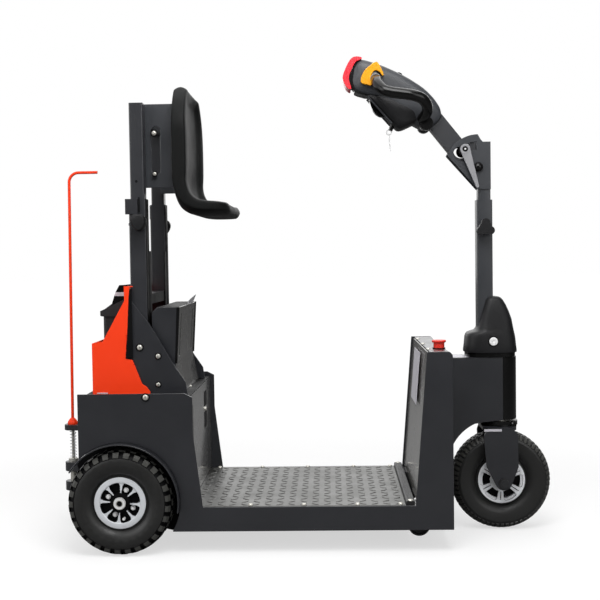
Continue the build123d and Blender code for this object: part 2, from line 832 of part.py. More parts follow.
def front_axle():
    """Bolt through the fork legs and the front hub, with its heads and spacers."""
    reach = fork_outer_y + axle_head_length
    place = (front_axle_x, tyre_radius)
    bolt = rod_along_y(axle_radius, *place, -reach, reach)
    head = slab(Pos(*place) * RegularPolygon(axle_head_size, 6), -reach, -fork_outer_y - seam_gap)
    spacer = rod_along_y(axle_spacer_radius, *place, rim_width / 2 + axle_spacer_gap,
                         fork_inner_y - seam_gap)
    return bolt + list(both_sides(head)) + list(both_sides(spacer))


def boot():
    """Moulded cover over the post's foot: wide base, rear ledge and a rounded tapering top."""
    high = boot_low_z + boot_height
    rear_corner = (boot_x, boot_low_z)
    front_corner = (boot_x + boot_length, boot_low_z)
    ledge = shifted(boot_ledge, *rear_corner)
    crest = shifted(boot_crest, *rear_corner)
    nose = shifted(boot_nose, *rear_corner)
    side = [
        Polyline(rear_corner, *ledge, crest[0]), ThreePointArc(*crest),
        ThreePointArc(crest[-1], *nose), Polyline(nose[-1], front_corner, rear_corner),
    ]
    profile = slab(make_face(Curve() + side), -boot_half_width, boot_half_width)
    middle_x = boot_x + boot_length / 2
    foot = RectangleRounded(boot_length, 2 * boot_half_width, boot_foot_corner)
    top = RectangleRounded(*boot_top_size, boot_top_corner)
    envelope = loft([Pos(middle_x, 0, boot_low_z) * foot,
                     Pos(post_x + boot_top_offset, 0, high) * top])
    half = post_tube / 2 + seam_gap
    hole = block((post_x - half, post_x + half), (-half, half), (boot_low_z, high))
    room_wall, room_height = boot_stem_room
    stem_room = rod_along_z(stem_radius + room_wall, steering_x, 0, boot_low_z,
                            boot_low_z + room_height)
    return (profile & envelope) - hole - stem_room


# Steering post and tilt joint

def steering_post():
    """Outer square tube of the steering post, on a foot plate welded to the stem."""
    tube = square_tube(post_tube, post_x, 0, post_foot_z + post_foot[1], post_top_z)
    hub = rod_along_z(stem_radius + post_hub_wall, steering_x, 0, post_foot_z,
                      boot_low_z + post_hub_rise)
    plate = block((post_x - post_tube / 2, steering_x), (-post_tube / 2, post_tube / 2),
                  (post_foot_z, boot_low_z - seam_gap))
    socket = rod_along_z(stem_radius + shaft_clearance, steering_x, 0, post_foot_z,
                         stem_top_z + seam_gap)
    return tube + hub + plate - socket


def clamp_knob(x, face_y, z):
    """Three-lobed clamping knob on the right-hand side of a tube."""
    reach = knob_radius - knob_lobe_radius
    lobes = Circle(reach + knob_web)
    for angle in knob_lobe_angles:
        lobes += Pos(*polar(reach, angle)) * Circle(knob_lobe_radius)
    outer_y = face_y - knob_stem_length
    head = slab(Pos(x, z) * lobes, outer_y - knob_thickness, outer_y)
    return head + rod_along_y(stud_radius, x, z, outer_y, face_y)


def tilt_plate_face():
    """Side plate of the tilt joint: a quadrant with a stop notch, tapering down to the tube."""
    rear_x, front_x = post_x - post_inner_tube / 2, post_x + post_inner_tube / 2
    rim_points = [polar(tilt_plate_radius, angle, tilt_x, tilt_z) for angle in tilt_plate_angles]
    notch = shifted(tilt_plate_notch, tilt_x, tilt_z)
    low_z = tilt_z - tilt_plate_drop
    edges = Polyline(rim_points[-1], (rear_x, low_z), (front_x, low_z), (front_x, notch[0][1]),
                     *notch, rim_points[0])
    return make_face(ThreePointArc(*rim_points) + edges)


def tilt_slot():
    """Curved slot about the tilt pivot, opened to a round end."""
    half = tilt_slot_width / 2
    ring = Circle(tilt_slot_radius + half) - Circle(tilt_slot_radius - half)
    end = Pos(*polar(tilt_slot_radius, tilt_slot_angles[1])) * Circle(tilt_slot_end)
    return Pos(tilt_x, tilt_z) * ((ring & wedge(tilt_slot_radius * 2, *tilt_slot_angles)) + end)


def post_inner():
    """Inner post tube with the two tilt plates welded to its sides and the pivot pin."""
    top_z = tilt_z - arm_depth / 2 - tilt_arm_gap
    tube = square_tube(post_inner_tube, post_x, 0, post_inner_bottom_z, top_z)
    inner = post_inner_tube / 2
    outer = inner + tilt_plate_thickness
    plate = slab(tilt_plate_face() - tilt_slot(), inner, outer)
    pin = rod_along_y(tilt_pin_radius, tilt_x, tilt_z, -outer - tilt_pin_reach,
                      outer + tilt_pin_reach)
    return tube + list(both_sides(plate)) + pin


# Tiller

def along_arm(distance, offset):
    """A point in x and z, measured from the pivot along and across the tiller arm."""
    start_x, start_z = polar(distance, arm_angle, tilt_x, tilt_z)
    return polar(arm_offset + offset, arm_angle - 90, start_x, start_z)


def arm_box(start, end, half):
    """The side view of a straight stretch of the arm."""
    return outline([along_arm(start, -half), along_arm(end, -half), along_arm(end, half),
                    along_arm(start, half)])


def tiller_arm():
    """Square tiller arm: round lower end on the pivot, open box section above."""
    half = arm_depth / 2
    side = arm_box(arm_start, arm_length, half) + Pos(tilt_x, tilt_z) * Circle(half)
    arm = slab(side, -arm_width / 2, arm_width / 2)
    inner_y = arm_width / 2 - arm_wall
    arm -= slab(arm_box(arm_core_start, arm_length, half - arm_wall), -inner_y, inner_y)
    distance, offset, radius = arm_window
    window = Pos(*along_arm(distance, offset)) * Circle(radius)
    arm -= slab(window, -arm_width / 2, arm_width / 2)
    hole = rod_along_y(tilt_pin_radius + shaft_clearance, tilt_x, tilt_z, -arm_width, arm_width)
    return arm - hole


def clamp_lever():
    """Tilt clamp: cross bolt in the curved slot and a tapered lever hanging on the right."""
    x, z = polar(tilt_slot_radius, clamp_bolt_angle, tilt_x, tilt_z)
    face_y = post_inner_tube / 2 + tilt_plate_thickness
    near_reach, far_reach = clamp_bolt_reach
    bolt = rod_along_y(clamp_bolt_radius, x, z, -face_y - near_reach, face_y + far_reach)
    radius, thickness = clamp_washer
    washer = rod_along_y(radius, x, z, -face_y - thickness, -face_y - seam_gap)
    far_radius, far_thickness = clamp_far_washer
    far_washer = rod_along_y(far_radius, x, z, face_y + seam_gap, face_y + far_thickness)
    tip = polar(lever_length, lever_angle, x, z)
    root_edge = [polar(lever_root_radius, lever_angle + turn, x, z) for turn in (90, -90)]
    tip_edge = [polar(lever_tip_radius, lever_angle + turn, *tip) for turn in (-90, 90)]
    arm = outline(root_edge + tip_edge)
    arm += Pos(x, z) * Circle(lever_root_radius)
    arm += Pos(*tip) * Circle(lever_tip_radius)
    lever = slab(arm, -face_y - thickness - lever_thickness, -face_y - thickness)
    return bolt + washer + far_washer + lever


def head_side():
    """Side view of the tiller head: a long drooping back and a stepped belly."""
    back = shifted(head_back, tilt_x, tilt_z)
    belly = shifted(head_belly, tilt_x, tilt_z)
    return make_face(Spline(*back) + Polyline(back[-1], *belly, back[0]))


def head_plan():
    """Top view of the tiller head: round tip, wide waist and a narrower root."""
    left = [(tilt_x + dx, half) for dx, half in head_plan_half]
    right = [(x, -half) for x, half in left]
    return make_face(Spline(*right) + Line(right[-1], left[-1]) + Spline(*reversed(left))
                     + Line(left[0], right[0]))


def head_front():
    """Front view of the tiller head: flat sides under a back with rounded shoulders."""
    low_z, high_z = tilt_z, tilt_z + head_back[0][1] + head_round
    return Pos(0, (low_z + high_z) / 2) * Rectangle(2 * head_half_width, high_z - low_z)


def tiller_head():
    """Moulded tiller head, its side view and top view cut from one another."""
    head = slab(head_side(), -head_half_width, head_half_width)
    head &= column(head_plan(), tilt_z, tilt_z + 2 * head_back[0][1])
    half = arm_depth / 2 + seam_gap
    wide = arm_width / 2 + seam_gap
    head -= slab(arm_box(0, arm_length + seam_gap, half), -wide, wide)
    root_x, root_z = tilt_x + loop_root[0], tilt_z + loop_root[1]
    seat = rod_along_y(loop_tube_radius + seam_gap, root_x, root_z, -head_half_width, -loop_root_y)
    for cut in both_sides(seat):
        head -= cut
    key_x, key_z = tilt_x + key_place[0], tilt_z + key_place[1]
    return head - rod_along_z(key_radius + seam_gap, key_x, 0, tilt_z, key_z + key_barrel[1])


def belly_button():
    """Safety button wrapped round the tip of the head."""
    outer = shifted(belly_button_outer, tilt_x, tilt_z)
    inner = shifted(belly_button_inner, tilt_x, tilt_z)
    face = make_face(Spline(*outer) + Polyline(outer[-1], *inner, outer[0]))
    return slab(face, -belly_button_half, belly_button_half)


def loop_handle():
    """Right-hand looped handlebar: out of the throttle hub, forward, and back into the head."""
    hub_x, hub_z = tilt_x + throttle_hub[0], tilt_z + throttle_hub[1]
    root_x, root_z = tilt_x + loop_root[0], tilt_z + loop_root[1]
    places = shifted(loop_low, hub_x, hub_z) + shifted(loop_high, root_x, root_z)
    reaches = [loop_shoulder_y] + [loop_reach + spread for spread in loop_spread[1:]]
    route = [(x, -reach, z) for (x, z), reach in zip(places, reaches)]
    path = FilletPolyline((hub_x, -throttle_half_width + seam_gap, hub_z), *route,
                          (root_x, -loop_root_y, root_z), radius=loop_bend_radii)
    section = Plane(origin=path @ 0, z_dir=path % 0) * Circle(loop_tube_radius)
    return sweep(section, path)


def throttle_wing():
    """Right-hand half of the butterfly throttle: its hub and thumb wing."""
    hub_x, hub_z = tilt_x + throttle_hub[0], tilt_z + throttle_hub[1]
    wing = outline(shifted(throttle_edge, tilt_x, tilt_z))
    wing = slab(wing, -throttle_half_width + throttle_inset, -head_half_width - throttle_head_gap)
    hub = rod_along_y(throttle_hub_radius, hub_x, hub_z, -throttle_half_width + 2 * seam_gap,
                      -head_half_width - seam_gap)
    return wing + hub


def key_switch():
    """Key lock under the head, with the key's bow."""
    x, z = tilt_x + key_place[0], tilt_z + key_place[1]
    below, above = key_barrel
    bow_x, bow_z, bow_radius, bow_half = key_bow
    barrel = rod_along_z(key_radius, x, 0, z - below, z + above - seam_gap)
    return barrel + rod_along_y(bow_radius, x + bow_x, z + bow_z, -bow_half, bow_half)


# Mast, seat and housing top

def mast_frame():
    """Fixed mast: two square tubes joined by a cross bar, each with a clamp block at its top."""
    tube = square_tube(mast_tube, mast_x, -mast_y, shelf_top_z, mast_top_z)
    inner_y = mast_y - mast_tube / 2 + tube_wall / 2
    bar_x = mast_x - mast_tube / 2 + crossbar_setback
    bar = block((bar_x, bar_x + crossbar_depth), (-inner_y, inner_y), crossbar_z)
    clamp_x = mast_x - mast_tube / 2 - clamp_rear
    clamp = block((clamp_x, mast_x - mast_tube / 2 + clamp_front),
                  (-mast_outer_y - clamp_thickness, -mast_outer_y + tube_wall / 2),
                  (mast_top_z - clamp_height, mast_top_z))
    return bar + list(both_sides(tube)) + list(both_sides(clamp))


def mast_gusset():
    """Right-hand brace plate between the mast tube and the shelf."""
    edge = shifted(gusset_edge, mast_x, shelf_z)
    face = outline([(mast_x - gusset_rear, shelf_top_z), *edge, (mast_x + gusset_foot, shelf_top_z)])
    return slab(face, -mast_outer_y - gusset_thickness, -mast_outer_y)


def mast_inner():
    """Right-hand sliding tube of the seat mast."""
    return square_tube(mast_inner_tube, mast_x, -mast_y, mast_inner_bottom_z, mast_inner_top_z)


def seat_bracket():
    """Slotted bracket plates and the tie bar that carries them between the sliding tubes."""
    low, high = (seat_bottom_z + rise for rise in bracket_rise)
    slot_low, slot_high = (seat_bottom_z + rise for rise in bracket_slot_rise)
    front_x = seat_back_x - seam_gap
    y_span = (-bracket_y - bracket_thickness, -bracket_y)
    plate = block((mast_x + bracket_offset, front_x), y_span, (low, high))
    slot = SlotOverall(slot_high - slot_low, bracket_slot_width, rotation=90)
    slot = Pos(seat_back_x - bracket_slot_setback, (slot_low + slot_high) / 2) * slot
    plate -= slab(slot, *y_span)
    inner_y = mast_y - mast_inner_tube / 2
    half = bracket_tie_size / 2
    tie_z = seat_bottom_z + bracket_tie_rise
    tie = block((mast_x - half, mast_x + half), (-inner_y, inner_y), (tie_z - half, tie_z + half))
    back = block((front_x - bracket_thickness, front_x), (-bracket_y, bracket_y),
                 (low + bracket_back_margin, high - bracket_back_margin))
    return tie + back + list(both_sides(plate))


def seat_side():
    """Side view of the seat with its bolsters: upright back, round heel and short pan."""
    back, low, high = seat_back_x, seat_bottom_z, seat_top_z
    heel = seat_heel_radius
    bulge = heel * (1 - math.sqrt(0.5))
    nose = shifted(seat_nose, seat_front_x, low)
    pan_end, elbow, wing_foot = shifted((seat_pan_end, seat_elbow, seat_wing_foot), back, low)
    wing_top = (back + seat_wing_depth, high - seat_wing_round)
    crown = (back, high - seat_crown_drop)
    edges = [
        Line(crown, (back, low + heel)),
        ThreePointArc((back, low + heel), (back + bulge, low + bulge), (back + heel, low)),
        Polyline((back + heel, low), *nose, pan_end), ThreePointArc(pan_end, elbow, wing_foot),
        Line(wing_foot, wing_top),
        ThreePointArc(wing_top, (back + seat_wing_depth - seat_wing_round, high), crown),
    ]
    return make_face(Curve() + edges)


def seat_front_view():
    """Front view of the seat: rounded top corners and full-width hips."""
    left = [(-seat_half_width + inset, seat_bottom_z + rise) for inset, rise in seat_shoulder]
    right = [(-y, z) for y, z in reversed(left)]
    edge = Spline(*left, (0, seat_top_z + seat_crown_rise), *right)
    return make_face(edge + Line(right[-1], left[0]))


def seat_hollow():
    """The space between the bolsters: the recess of the back and of the pan."""
    front = seat_back_x + seat_skin
    floor = seat_bottom_z + seat_skin
    knee = shifted(seat_hollow_knee, front, floor)
    far_x = seat_front_x + seat_skin
    far_z = seat_top_z + seat_skin
    edges = Polyline(knee[-1], (far_x, floor - seat_hollow_fall), (far_x, far_z), (front, far_z),
                     knee[0])
    half = seat_half_width - seat_wing
    return slab(make_face(ThreePointArc(*knee) + edges), -half, half)


def seat_shell():
    """One-piece moulded seat with raised side bolsters."""
    body = slab(seat_side(), -seat_half_width, seat_half_width)
    view = bar_along_x(seat_front_view(), seat_back_x, seat_front_x)
    return (body & view) - seat_hollow()


def control_box():
    """Controller housing between the mast and the rider's legs, its leaning face slotted."""
    rear_x = mast_x + control_offset
    high_z = shelf_z + control_height
    front_x = rear_x + control_depth
    kink_x, kink_z = rear_x + control_kink[0], shelf_z + control_kink[1]
    face = outline([
        (rear_x, shelf_top_z), (rear_x, high_z - control_bevel), (rear_x + control_bevel, high_z),
        (front_x, high_z), (kink_x, kink_z), (rear_x + control_foot, shelf_top_z),
    ])
    box = slab(face, -control_half_width, control_half_width)
    low_margin, high_margin = control_slot_margin
    slope = (front_x - kink_x) / (high_z - kink_z)
    low, high = kink_z + low_margin, high_z - high_margin
    slot_face = outline([
        (kink_x + slope * low_margin, low), (front_x - slope * high_margin, high),
        (front_x - slope * high_margin - control_slot_depth, high),
        (kink_x + slope * low_margin - control_slot_depth, low),
    ])
    half = control_slot_width / 2
    for cut in both_sides(slab(slot_face, control_slot_y - half, control_slot_y + half)):
        box -= cut
    return box


def battery_tray():
    """Folded tray behind the mast: side plates, rear wall, floor and front wall."""
    floor_z = shelf_top_z
    top_x = tray_front_x - tray_edge_gap
    foot = shifted(tray_foot, tray_front_x, shelf_z)
    face = outline([
        (tray_rear_x, floor_z), (tray_rear_x, shelf_z + tray_rear_rise),
        (tray_rear_x + tray_shoulder[0], shelf_z + tray_shoulder[1]), (top_x, shelf_z + tray_top_rise),
        (top_x, foot[0][1]), *foot, (foot[-1][0], floor_z),
    ])
    side = slab(face, -tray_y, -tray_y + tray_sheet)
    inner = tray_y - tray_sheet / 2
    rear = block((tray_rear_x, tray_rear_x + tray_sheet), (-inner, inner),
                 (floor_z, shelf_z + tray_rear_rise))
    floor = block((tray_rear_x, tray_front_x), (-inner, inner), (floor_z, floor_z + tray_sheet))
    wall = block((tray_front_x - tray_sheet, tray_front_x), (-inner, inner),
                 (floor_z, shelf_z + tray_wall_rise))
    return rear + floor + wall + list(both_sides(side))


def battery_pack():
    """Battery case with an overhanging lid and a raised carry handle."""
    rear, front = battery_rear_x, battery_front_x
    floor_z = shelf_top_z + tray_sheet + seam_gap
    half = battery_half_width
    low, high = (shelf_z + rise for rise in battery_lid_rise)
    case = block((rear, front), (-half, half), (floor_z, high))
    case = fillet(case.edges().filter_by(Axis.Z), battery_corner)
    lip = half + battery_lid_lip
    lid = block((rear - battery_lid_lip, front + battery_lid_lip), (-lip, lip), (low, high))
    lid = fillet(lid.edges().filter_by(Axis.Z), battery_lid_corner)
    grip_points = shifted(battery_grip, rear, high)
    grip = slab(outline([*grip_points, (grip_points[-1][0], high)]), -half + battery_grip_inset,
                half - battery_grip_inset)
    opening_y, opening_z = battery_grip_opening
    opening = block((rear - battery_lid_lip, front + battery_lid_lip),
                    (-half + opening_y, half - opening_y),
                    (high + opening_z, grip_points[-1][1] - opening_z))
    return case + lid + (grip - opening)


# Hitch

def hitch_bracket():
    """Tow hitch: back plate, two jaws and the pin's upper guide."""
    front = body_rear_x
    back = front - hitch_back_plate
    half = hitch_half_width
    margin = half + hitch_plate_margin
    body = block((back, front), (-margin, margin),
                 (hitch_plate_low_z, guide_z[1] + hitch_plate_rise))
    end = Pos(hitch_x, 0) * Circle(hitch_end_radius)
    for z_span, width in ((guide_z, half - guide_inset), (upper_jaw_z, half), (lower_jaw_z, half)):
        root = Pos((back + front) / 2, 0) * Rectangle(hitch_back_plate, 2 * width)
        body += column(make_hull(root.edges() + end.edges()), *z_span)
    hole = rod_along_z(pin_radius + shaft_clearance, hitch_x, 0, lower_jaw_z[0], upper_jaw_z[1])
    rod_hole = rod_along_z(rod_radius + shaft_clearance, hitch_x, 0, *guide_z)
    return body - hole - rod_hole


def coupling_pin():
    """Hitch pin with its spring collar and the lower end of its lift rod."""
    collar_z = upper_jaw_z[1] + seam_gap
    pin = rod_along_z(pin_radius, hitch_x, 0, pin_bottom_z, collar_z + pin_collar_height)
    pin = chamfer(pin.edges().filter_by(GeomType.CIRCLE).group_by(Axis.Z)[0], pin_chamfer)
    collar = rod_along_z(pin_collar_radius, hitch_x, 0, collar_z, collar_z + pin_collar_height)
    return pin + collar + rod_along_z(rod_radius, hitch_x, 0, collar_z, guide_z[1] + rod_socket)


def pull_rod():
    """Lift rod: domed cap on the guide, a tall rod and a bent-over grip."""
    base_z = guide_z[1] + seam_gap
    dome = ThreePointArc(*rod_cap_dome)
    flat = Polyline(rod_cap_dome[-1], (0, rod_cap_height), (0, 0), (rod_cap_radius, 0),
                    rod_cap_dome[0])
    cap = Pos(hitch_x, 0, base_z) * revolve(Plane.XZ * make_face(dome + flat), Axis.Z)
    cap -= rod_along_z(rod_radius + rod_fit, hitch_x, 0, base_z, guide_z[1] + rod_socket + rod_fit)
    grip_z = rod_top_z - rod_radius
    bend = FilletPolyline((hitch_x, 0, base_z + rod_cap_height - rod_radius / 4),
                          (hitch_x + rod_lean, 0, grip_z), (hitch_x + rod_handle_length, 0, grip_z),
                          radius=rod_bend_radius)
    section = Plane(origin=bend @ 0, z_dir=bend % 0) * Circle(rod_radius)
    return cap + sweep(section, bend)


def hitch_spring():
    """Return spring between the pin's collar and the guide."""
    low = upper_jaw_z[1] + seam_gap + pin_collar_height + seam_gap + spring_wire
    high = guide_z[0] - seam_gap - spring_wire
    path = Helix(pitch=(high - low) / spring_turns, height=high - low, radius=spring_radius)
    section = Plane(origin=path @ 0, z_dir=path % 0) * RegularPolygon(spring_wire, 6)
    return Pos(hitch_x, 0, low) * sweep(section, path)


def nodes():
    """Every piece of the machine by its name."""
    front_wheel = Pos(front_axle_x, 0, tyre_radius)
    rear_wheel = Pos(rear_axle_x, -wheel_track / 2, tyre_radius)
    pieces = {
        "deck_frame": deck_frame(),
        "deck_plate": deck_plate(),
        "toe_strip": toe_strip(),
        "housing_front_panel": housing_front_panel(),
        "housing_rear_panel": housing_rear_panel(),
        "housing_shelf": housing_shelf(),
        "rear_axle": rear_axle(),
        "drive_unit": drive_unit(),
        "column_rear_panel": column_rear_panel(),
        "column_front_panel": column_front_panel(),
        "column_top": column_top(),
        "stop_button": stop_button(),
        "neck_shell": neck_shell(),
        "head_tube": head_tube(),
        "mast_frame": mast_frame(),
        "control_box": control_box(),
        "battery_tray": battery_tray(),
        "battery_pack": battery_pack(),
        "hitch_bracket": hitch_bracket(),
        "coupling_pin": coupling_pin(),
        "pull_rod": pull_rod(),
        "hitch_spring": hitch_spring(),
        "fork": fork(),
        "front_axle": front_axle(),
        "boot": boot(),
        "steering_post": steering_post(),
        "post_inner": post_inner(),
        "post_knob": clamp_knob(post_x - post_knob_setback, -post_tube / 2,
                                post_top_z - post_knob_drop),
        "tiller_arm": tiller_arm(),
        "clamp_lever": clamp_lever(),
        "tiller_head": tiller_head(),
        "belly_button": belly_button(),
        "key_switch": key_switch(),
        "seat_bracket": seat_bracket(),
        "seat_shell": seat_shell(),
        "front_tyre": front_wheel * tyre(front_flange_radius),
        "front_rim": front_wheel * rim(front_flange_radius, front_spoke_count, front_spoke_width,
                                       front_spoke_spread),
    }
    shared_pairs = {
        "frame_channels": frame_channel(),
        "arch_lips": arch_lip(),
        "wheel_boxes": wheel_box(),
        "mast_gussets": mast_gusset(),
        "mast_inner_tubes": mast_inner(),
        "mast_knobs": clamp_knob(mast_x + mast_knob_offset, -mast_outer_y,
                                 mast_top_z - mast_knob_drop),
        "roller_brackets": roller_bracket(),
        "loop_handles": loop_handle(),
        "throttle": throttle_wing(),
    }
    for name, shape in shared_pairs.items():
        pieces[name] = Part() + list(both_sides(shape))
    separate_pairs = {
        "side_plate": side_plate(),
        "roller": Pos(roller_x, -roller_y, roller_z) * roller(),
        "rear_tyre": rear_wheel * tyre(rear_flange_radius),
        "rear_rim": rear_wheel * rim(rear_flange_radius, rear_spoke_count, rear_spoke_width, 0),
    }
    for name, shape in separate_pairs.items():
        pieces[name + "_right"] = shape
        pieces[name + "_left"] = mirror(shape, Plane.XZ)
    return pieces


os.makedirs("parts", exist_ok=True)
for name, shape in nodes().items():
    export_step(shape, f"parts/{name}.step")
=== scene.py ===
import json
import math

import bmesh
import bpy
import numpy as np
from mathutils import Matrix, Vector


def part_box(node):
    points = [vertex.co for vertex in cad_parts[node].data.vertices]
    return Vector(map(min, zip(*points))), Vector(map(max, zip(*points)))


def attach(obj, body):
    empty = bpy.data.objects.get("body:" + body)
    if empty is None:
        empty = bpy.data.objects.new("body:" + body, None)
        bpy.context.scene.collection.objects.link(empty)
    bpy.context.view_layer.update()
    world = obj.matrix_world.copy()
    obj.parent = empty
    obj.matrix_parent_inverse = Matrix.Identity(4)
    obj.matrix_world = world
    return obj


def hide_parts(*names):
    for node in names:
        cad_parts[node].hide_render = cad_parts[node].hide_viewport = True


# A small three-wheeled towing tug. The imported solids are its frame, and this script gives them their finish
# and the detail that they leave out.
# Metres throughout: x forward, y to the rider's left, z up from the floor. Angles are in degrees.

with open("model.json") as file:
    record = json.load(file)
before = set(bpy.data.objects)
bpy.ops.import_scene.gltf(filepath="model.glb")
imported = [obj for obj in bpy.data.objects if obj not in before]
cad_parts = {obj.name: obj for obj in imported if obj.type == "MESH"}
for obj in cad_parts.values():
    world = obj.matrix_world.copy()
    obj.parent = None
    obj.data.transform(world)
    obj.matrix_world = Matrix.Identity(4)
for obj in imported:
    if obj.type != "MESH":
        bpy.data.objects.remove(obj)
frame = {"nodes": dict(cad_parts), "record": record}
nodes = frame["nodes"]
bodies = frame["record"]["behaviour"]["bodies"]
bodyOf = {node: body for body, members in bodies.items() for node in members}
slotOf = {part["node"]: part["material_slot"] for part in frame["record"]["subparts"]}
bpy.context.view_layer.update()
print("frame loaded:", len(nodes), "nodes")

# Camera, at the photograph's viewing angle: turn, dip and lean are in radians

camera = {
    "place": (0.072, -2.8343, 0.7477),
    "turn": -0.02877,
    "dip": 0.04271,
    "lean": 0.01461,
    "lens": 62.476,
    "sensor": 36.0,
}


def placeCamera():
    turn, dip, lean = camera["turn"], camera["dip"], camera["lean"]
    forward = Vector((math.sin(turn) * math.cos(dip), math.cos(turn) * math.cos(dip), -math.sin(dip)))
    level = Vector((math.cos(turn), -math.sin(turn), 0))
    below = forward.cross(level)
    right = math.cos(lean) * level + math.sin(lean) * below
    down = math.cos(lean) * below - math.sin(lean) * level
    data = bpy.data.cameras.new("photoCamera")
    data.lens = camera["lens"]
    data.sensor_width = camera["sensor"]
    eye = bpy.data.objects.new("photoCamera", data)
    turned = Matrix((right, -down, -forward)).transposed().to_4x4()
    eye.matrix_world = Matrix.Translation(camera["place"]) @ turned
    bpy.context.scene.collection.objects.link(eye)
    bpy.context.scene.camera = eye


# Shader node helpers

def addNode(tree, kind, links=None, **values):
    # One node with its settings; a value goes to the property or the input socket of that name
    node = tree.nodes.new(kind)
    for name, value in values.items():
        if hasattr(node, name):
            setattr(node, name, value)
        else:
            node.inputs[name.replace("_", " ")].default_value = value
    for name, source in (links or {}).items():
        tree.links.new(source, node.inputs[name])
    return node


def groupOf(name, inputs, outputs):
    # An empty shader group with its sockets, and the two nodes that carry them
    group = bpy.data.node_groups.new(name, "ShaderNodeTree")
    kinds = {"vector": "NodeSocketVector", "value": "NodeSocketFloat", "colour": "NodeSocketColor"}
    for label, kind, start in inputs:
        socket = group.interface.new_socket(label, in_out="INPUT", socket_type=kinds[kind])
        if start is not None:
            socket.default_value = start
    for label, kind in outputs:
        group.interface.new_socket(label, in_out="OUTPUT", socket_type=kinds[kind])
    return group, group.nodes.new("NodeGroupInput"), group.nodes.new("NodeGroupOutput")


def makeGrainGroup():
    # Grain: fine noise stretched between a low and a high value
    group, given, result = groupOf(
        "grain",
        [("Vector", "vector", None), ("Scale", "value", 400.0), ("Detail", "value", 3.0),
         ("Low", "value", 0.0), ("High", "value", 1.0)],
        [("Value", "value")])
    noise = addNode(group, "ShaderNodeTexNoise", {
        "Vector": given.outputs["Vector"], "Scale": given.outputs["Scale"],
        "Detail": given.outputs["Detail"]})
    spread = addNode(group, "ShaderNodeMapRange", {
        "Value": noise.outputs["Fac"], "To Min": given.outputs["Low"], "To Max": given.outputs["High"]},
        From_Min=0.3, From_Max=0.7)
    group.links.new(spread.outputs["Result"], result.inputs["Value"])
    return group


def makeTintGroup():
    # Tint: a colour made darker and lighter in soft patches
    group, given, result = groupOf(
        "tint",
        [("Vector", "vector", None), ("Colour", "colour", None), ("Scale", "value", 6.0),
         ("Amount", "value", 0.1)],
        [("Colour", "colour")])
    noise = addNode(group, "ShaderNodeTexNoise", {
        "Vector": given.outputs["Vector"], "Scale": given.outputs["Scale"]}, Detail=4.0)
    centred = addNode(group, "ShaderNodeMath", {0: noise.outputs["Fac"]}, operation="SUBTRACT")
    centred.inputs[1].default_value = 0.5
    swing = addNode(group, "ShaderNodeMath", {0: centred.outputs[0], 1: given.outputs["Amount"]},
                    operation="MULTIPLY")
    doubled = addNode(group, "ShaderNodeMath", {0: swing.outputs[0]}, operation="MULTIPLY_ADD")
    doubled.inputs[1].default_value = 4.0
    doubled.inputs[2].default_value = 1.0
    scaled = addNode(group, "ShaderNodeVectorMath", {0: given.outputs["Colour"]}, operation="SCALE")
    group.links.new(doubled.outputs[0], scaled.inputs["Scale"])
    group.links.new(scaled.outputs["Vector"], result.inputs["Colour"])
    return group


def placeGroup(tree, group, links, **values):
    # A shader group put into a material, with its own values
    node = tree.nodes.new("ShaderNodeGroup")
    node.node_tree = group
    for name, value in values.items():
        node.inputs[name].default_value = value
    for name, source in links.items():
        tree.links.new(source, node.inputs[name])
    return node


def colour(*rgb):
    # A colour as the eye reads it, 0 to 255, turned into the light that the renderer works in
    share = np.array(rgb) / 255
    light = np.where(share <= 0.04045, share / 12.92, ((share + 0.055) / 1.055) ** 2.4)
    return (*light.tolist(), 1.0)


def makeMaterial(name, finish):
    # A finish: tinted colour, roughness that wanders, and a fine grain that raises the surface
    material = bpy.data.materials.new(name)
    material.use_nodes = True
    tree = material.node_tree
    shader = tree.nodes["Principled BSDF"]
    where = addNode(tree, "ShaderNodeTexCoord").outputs["Object"]
    tint = placeGroup(tree, tintGroup, {"Vector": where}, Colour=finish["colour"],
                      Scale=finish.get("patch", 7.0), Amount=finish.get("uneven", 0.08))
    tree.links.new(tint.outputs["Colour"], shader.inputs["Base Color"])
    low, high = finish["rough"]
    sheen = placeGroup(tree, grainGroup, {"Vector": where}, Scale=finish.get("smudge", 14.0),
                       Detail=5.0, Low=low, High=high)
    tree.links.new(sheen.outputs["Value"], shader.inputs["Roughness"])
    if "grain" in finish:
        scale, height = finish["grain"]
        pebble = placeGroup(tree, grainGroup, {"Vector": where}, Scale=scale, Detail=2.0)
        bump = addNode(tree, "ShaderNodeBump", {"Height": pebble.outputs["Value"]},
                       Strength=1.0, Distance=height)
        tree.links.new(bump.outputs["Normal"], shader.inputs["Normal"])
    shader.inputs["Metallic"].default_value = finish.get("metal", 0.0)
    shader.inputs["Coat Weight"].default_value = finish.get("coat", 0.0)
    shader.inputs["Coat Roughness"].default_value = finish.get("coatRough", 0.1)
    shader.inputs["Specular IOR Level"].default_value = finish.get("specular", 0.5)
    return material


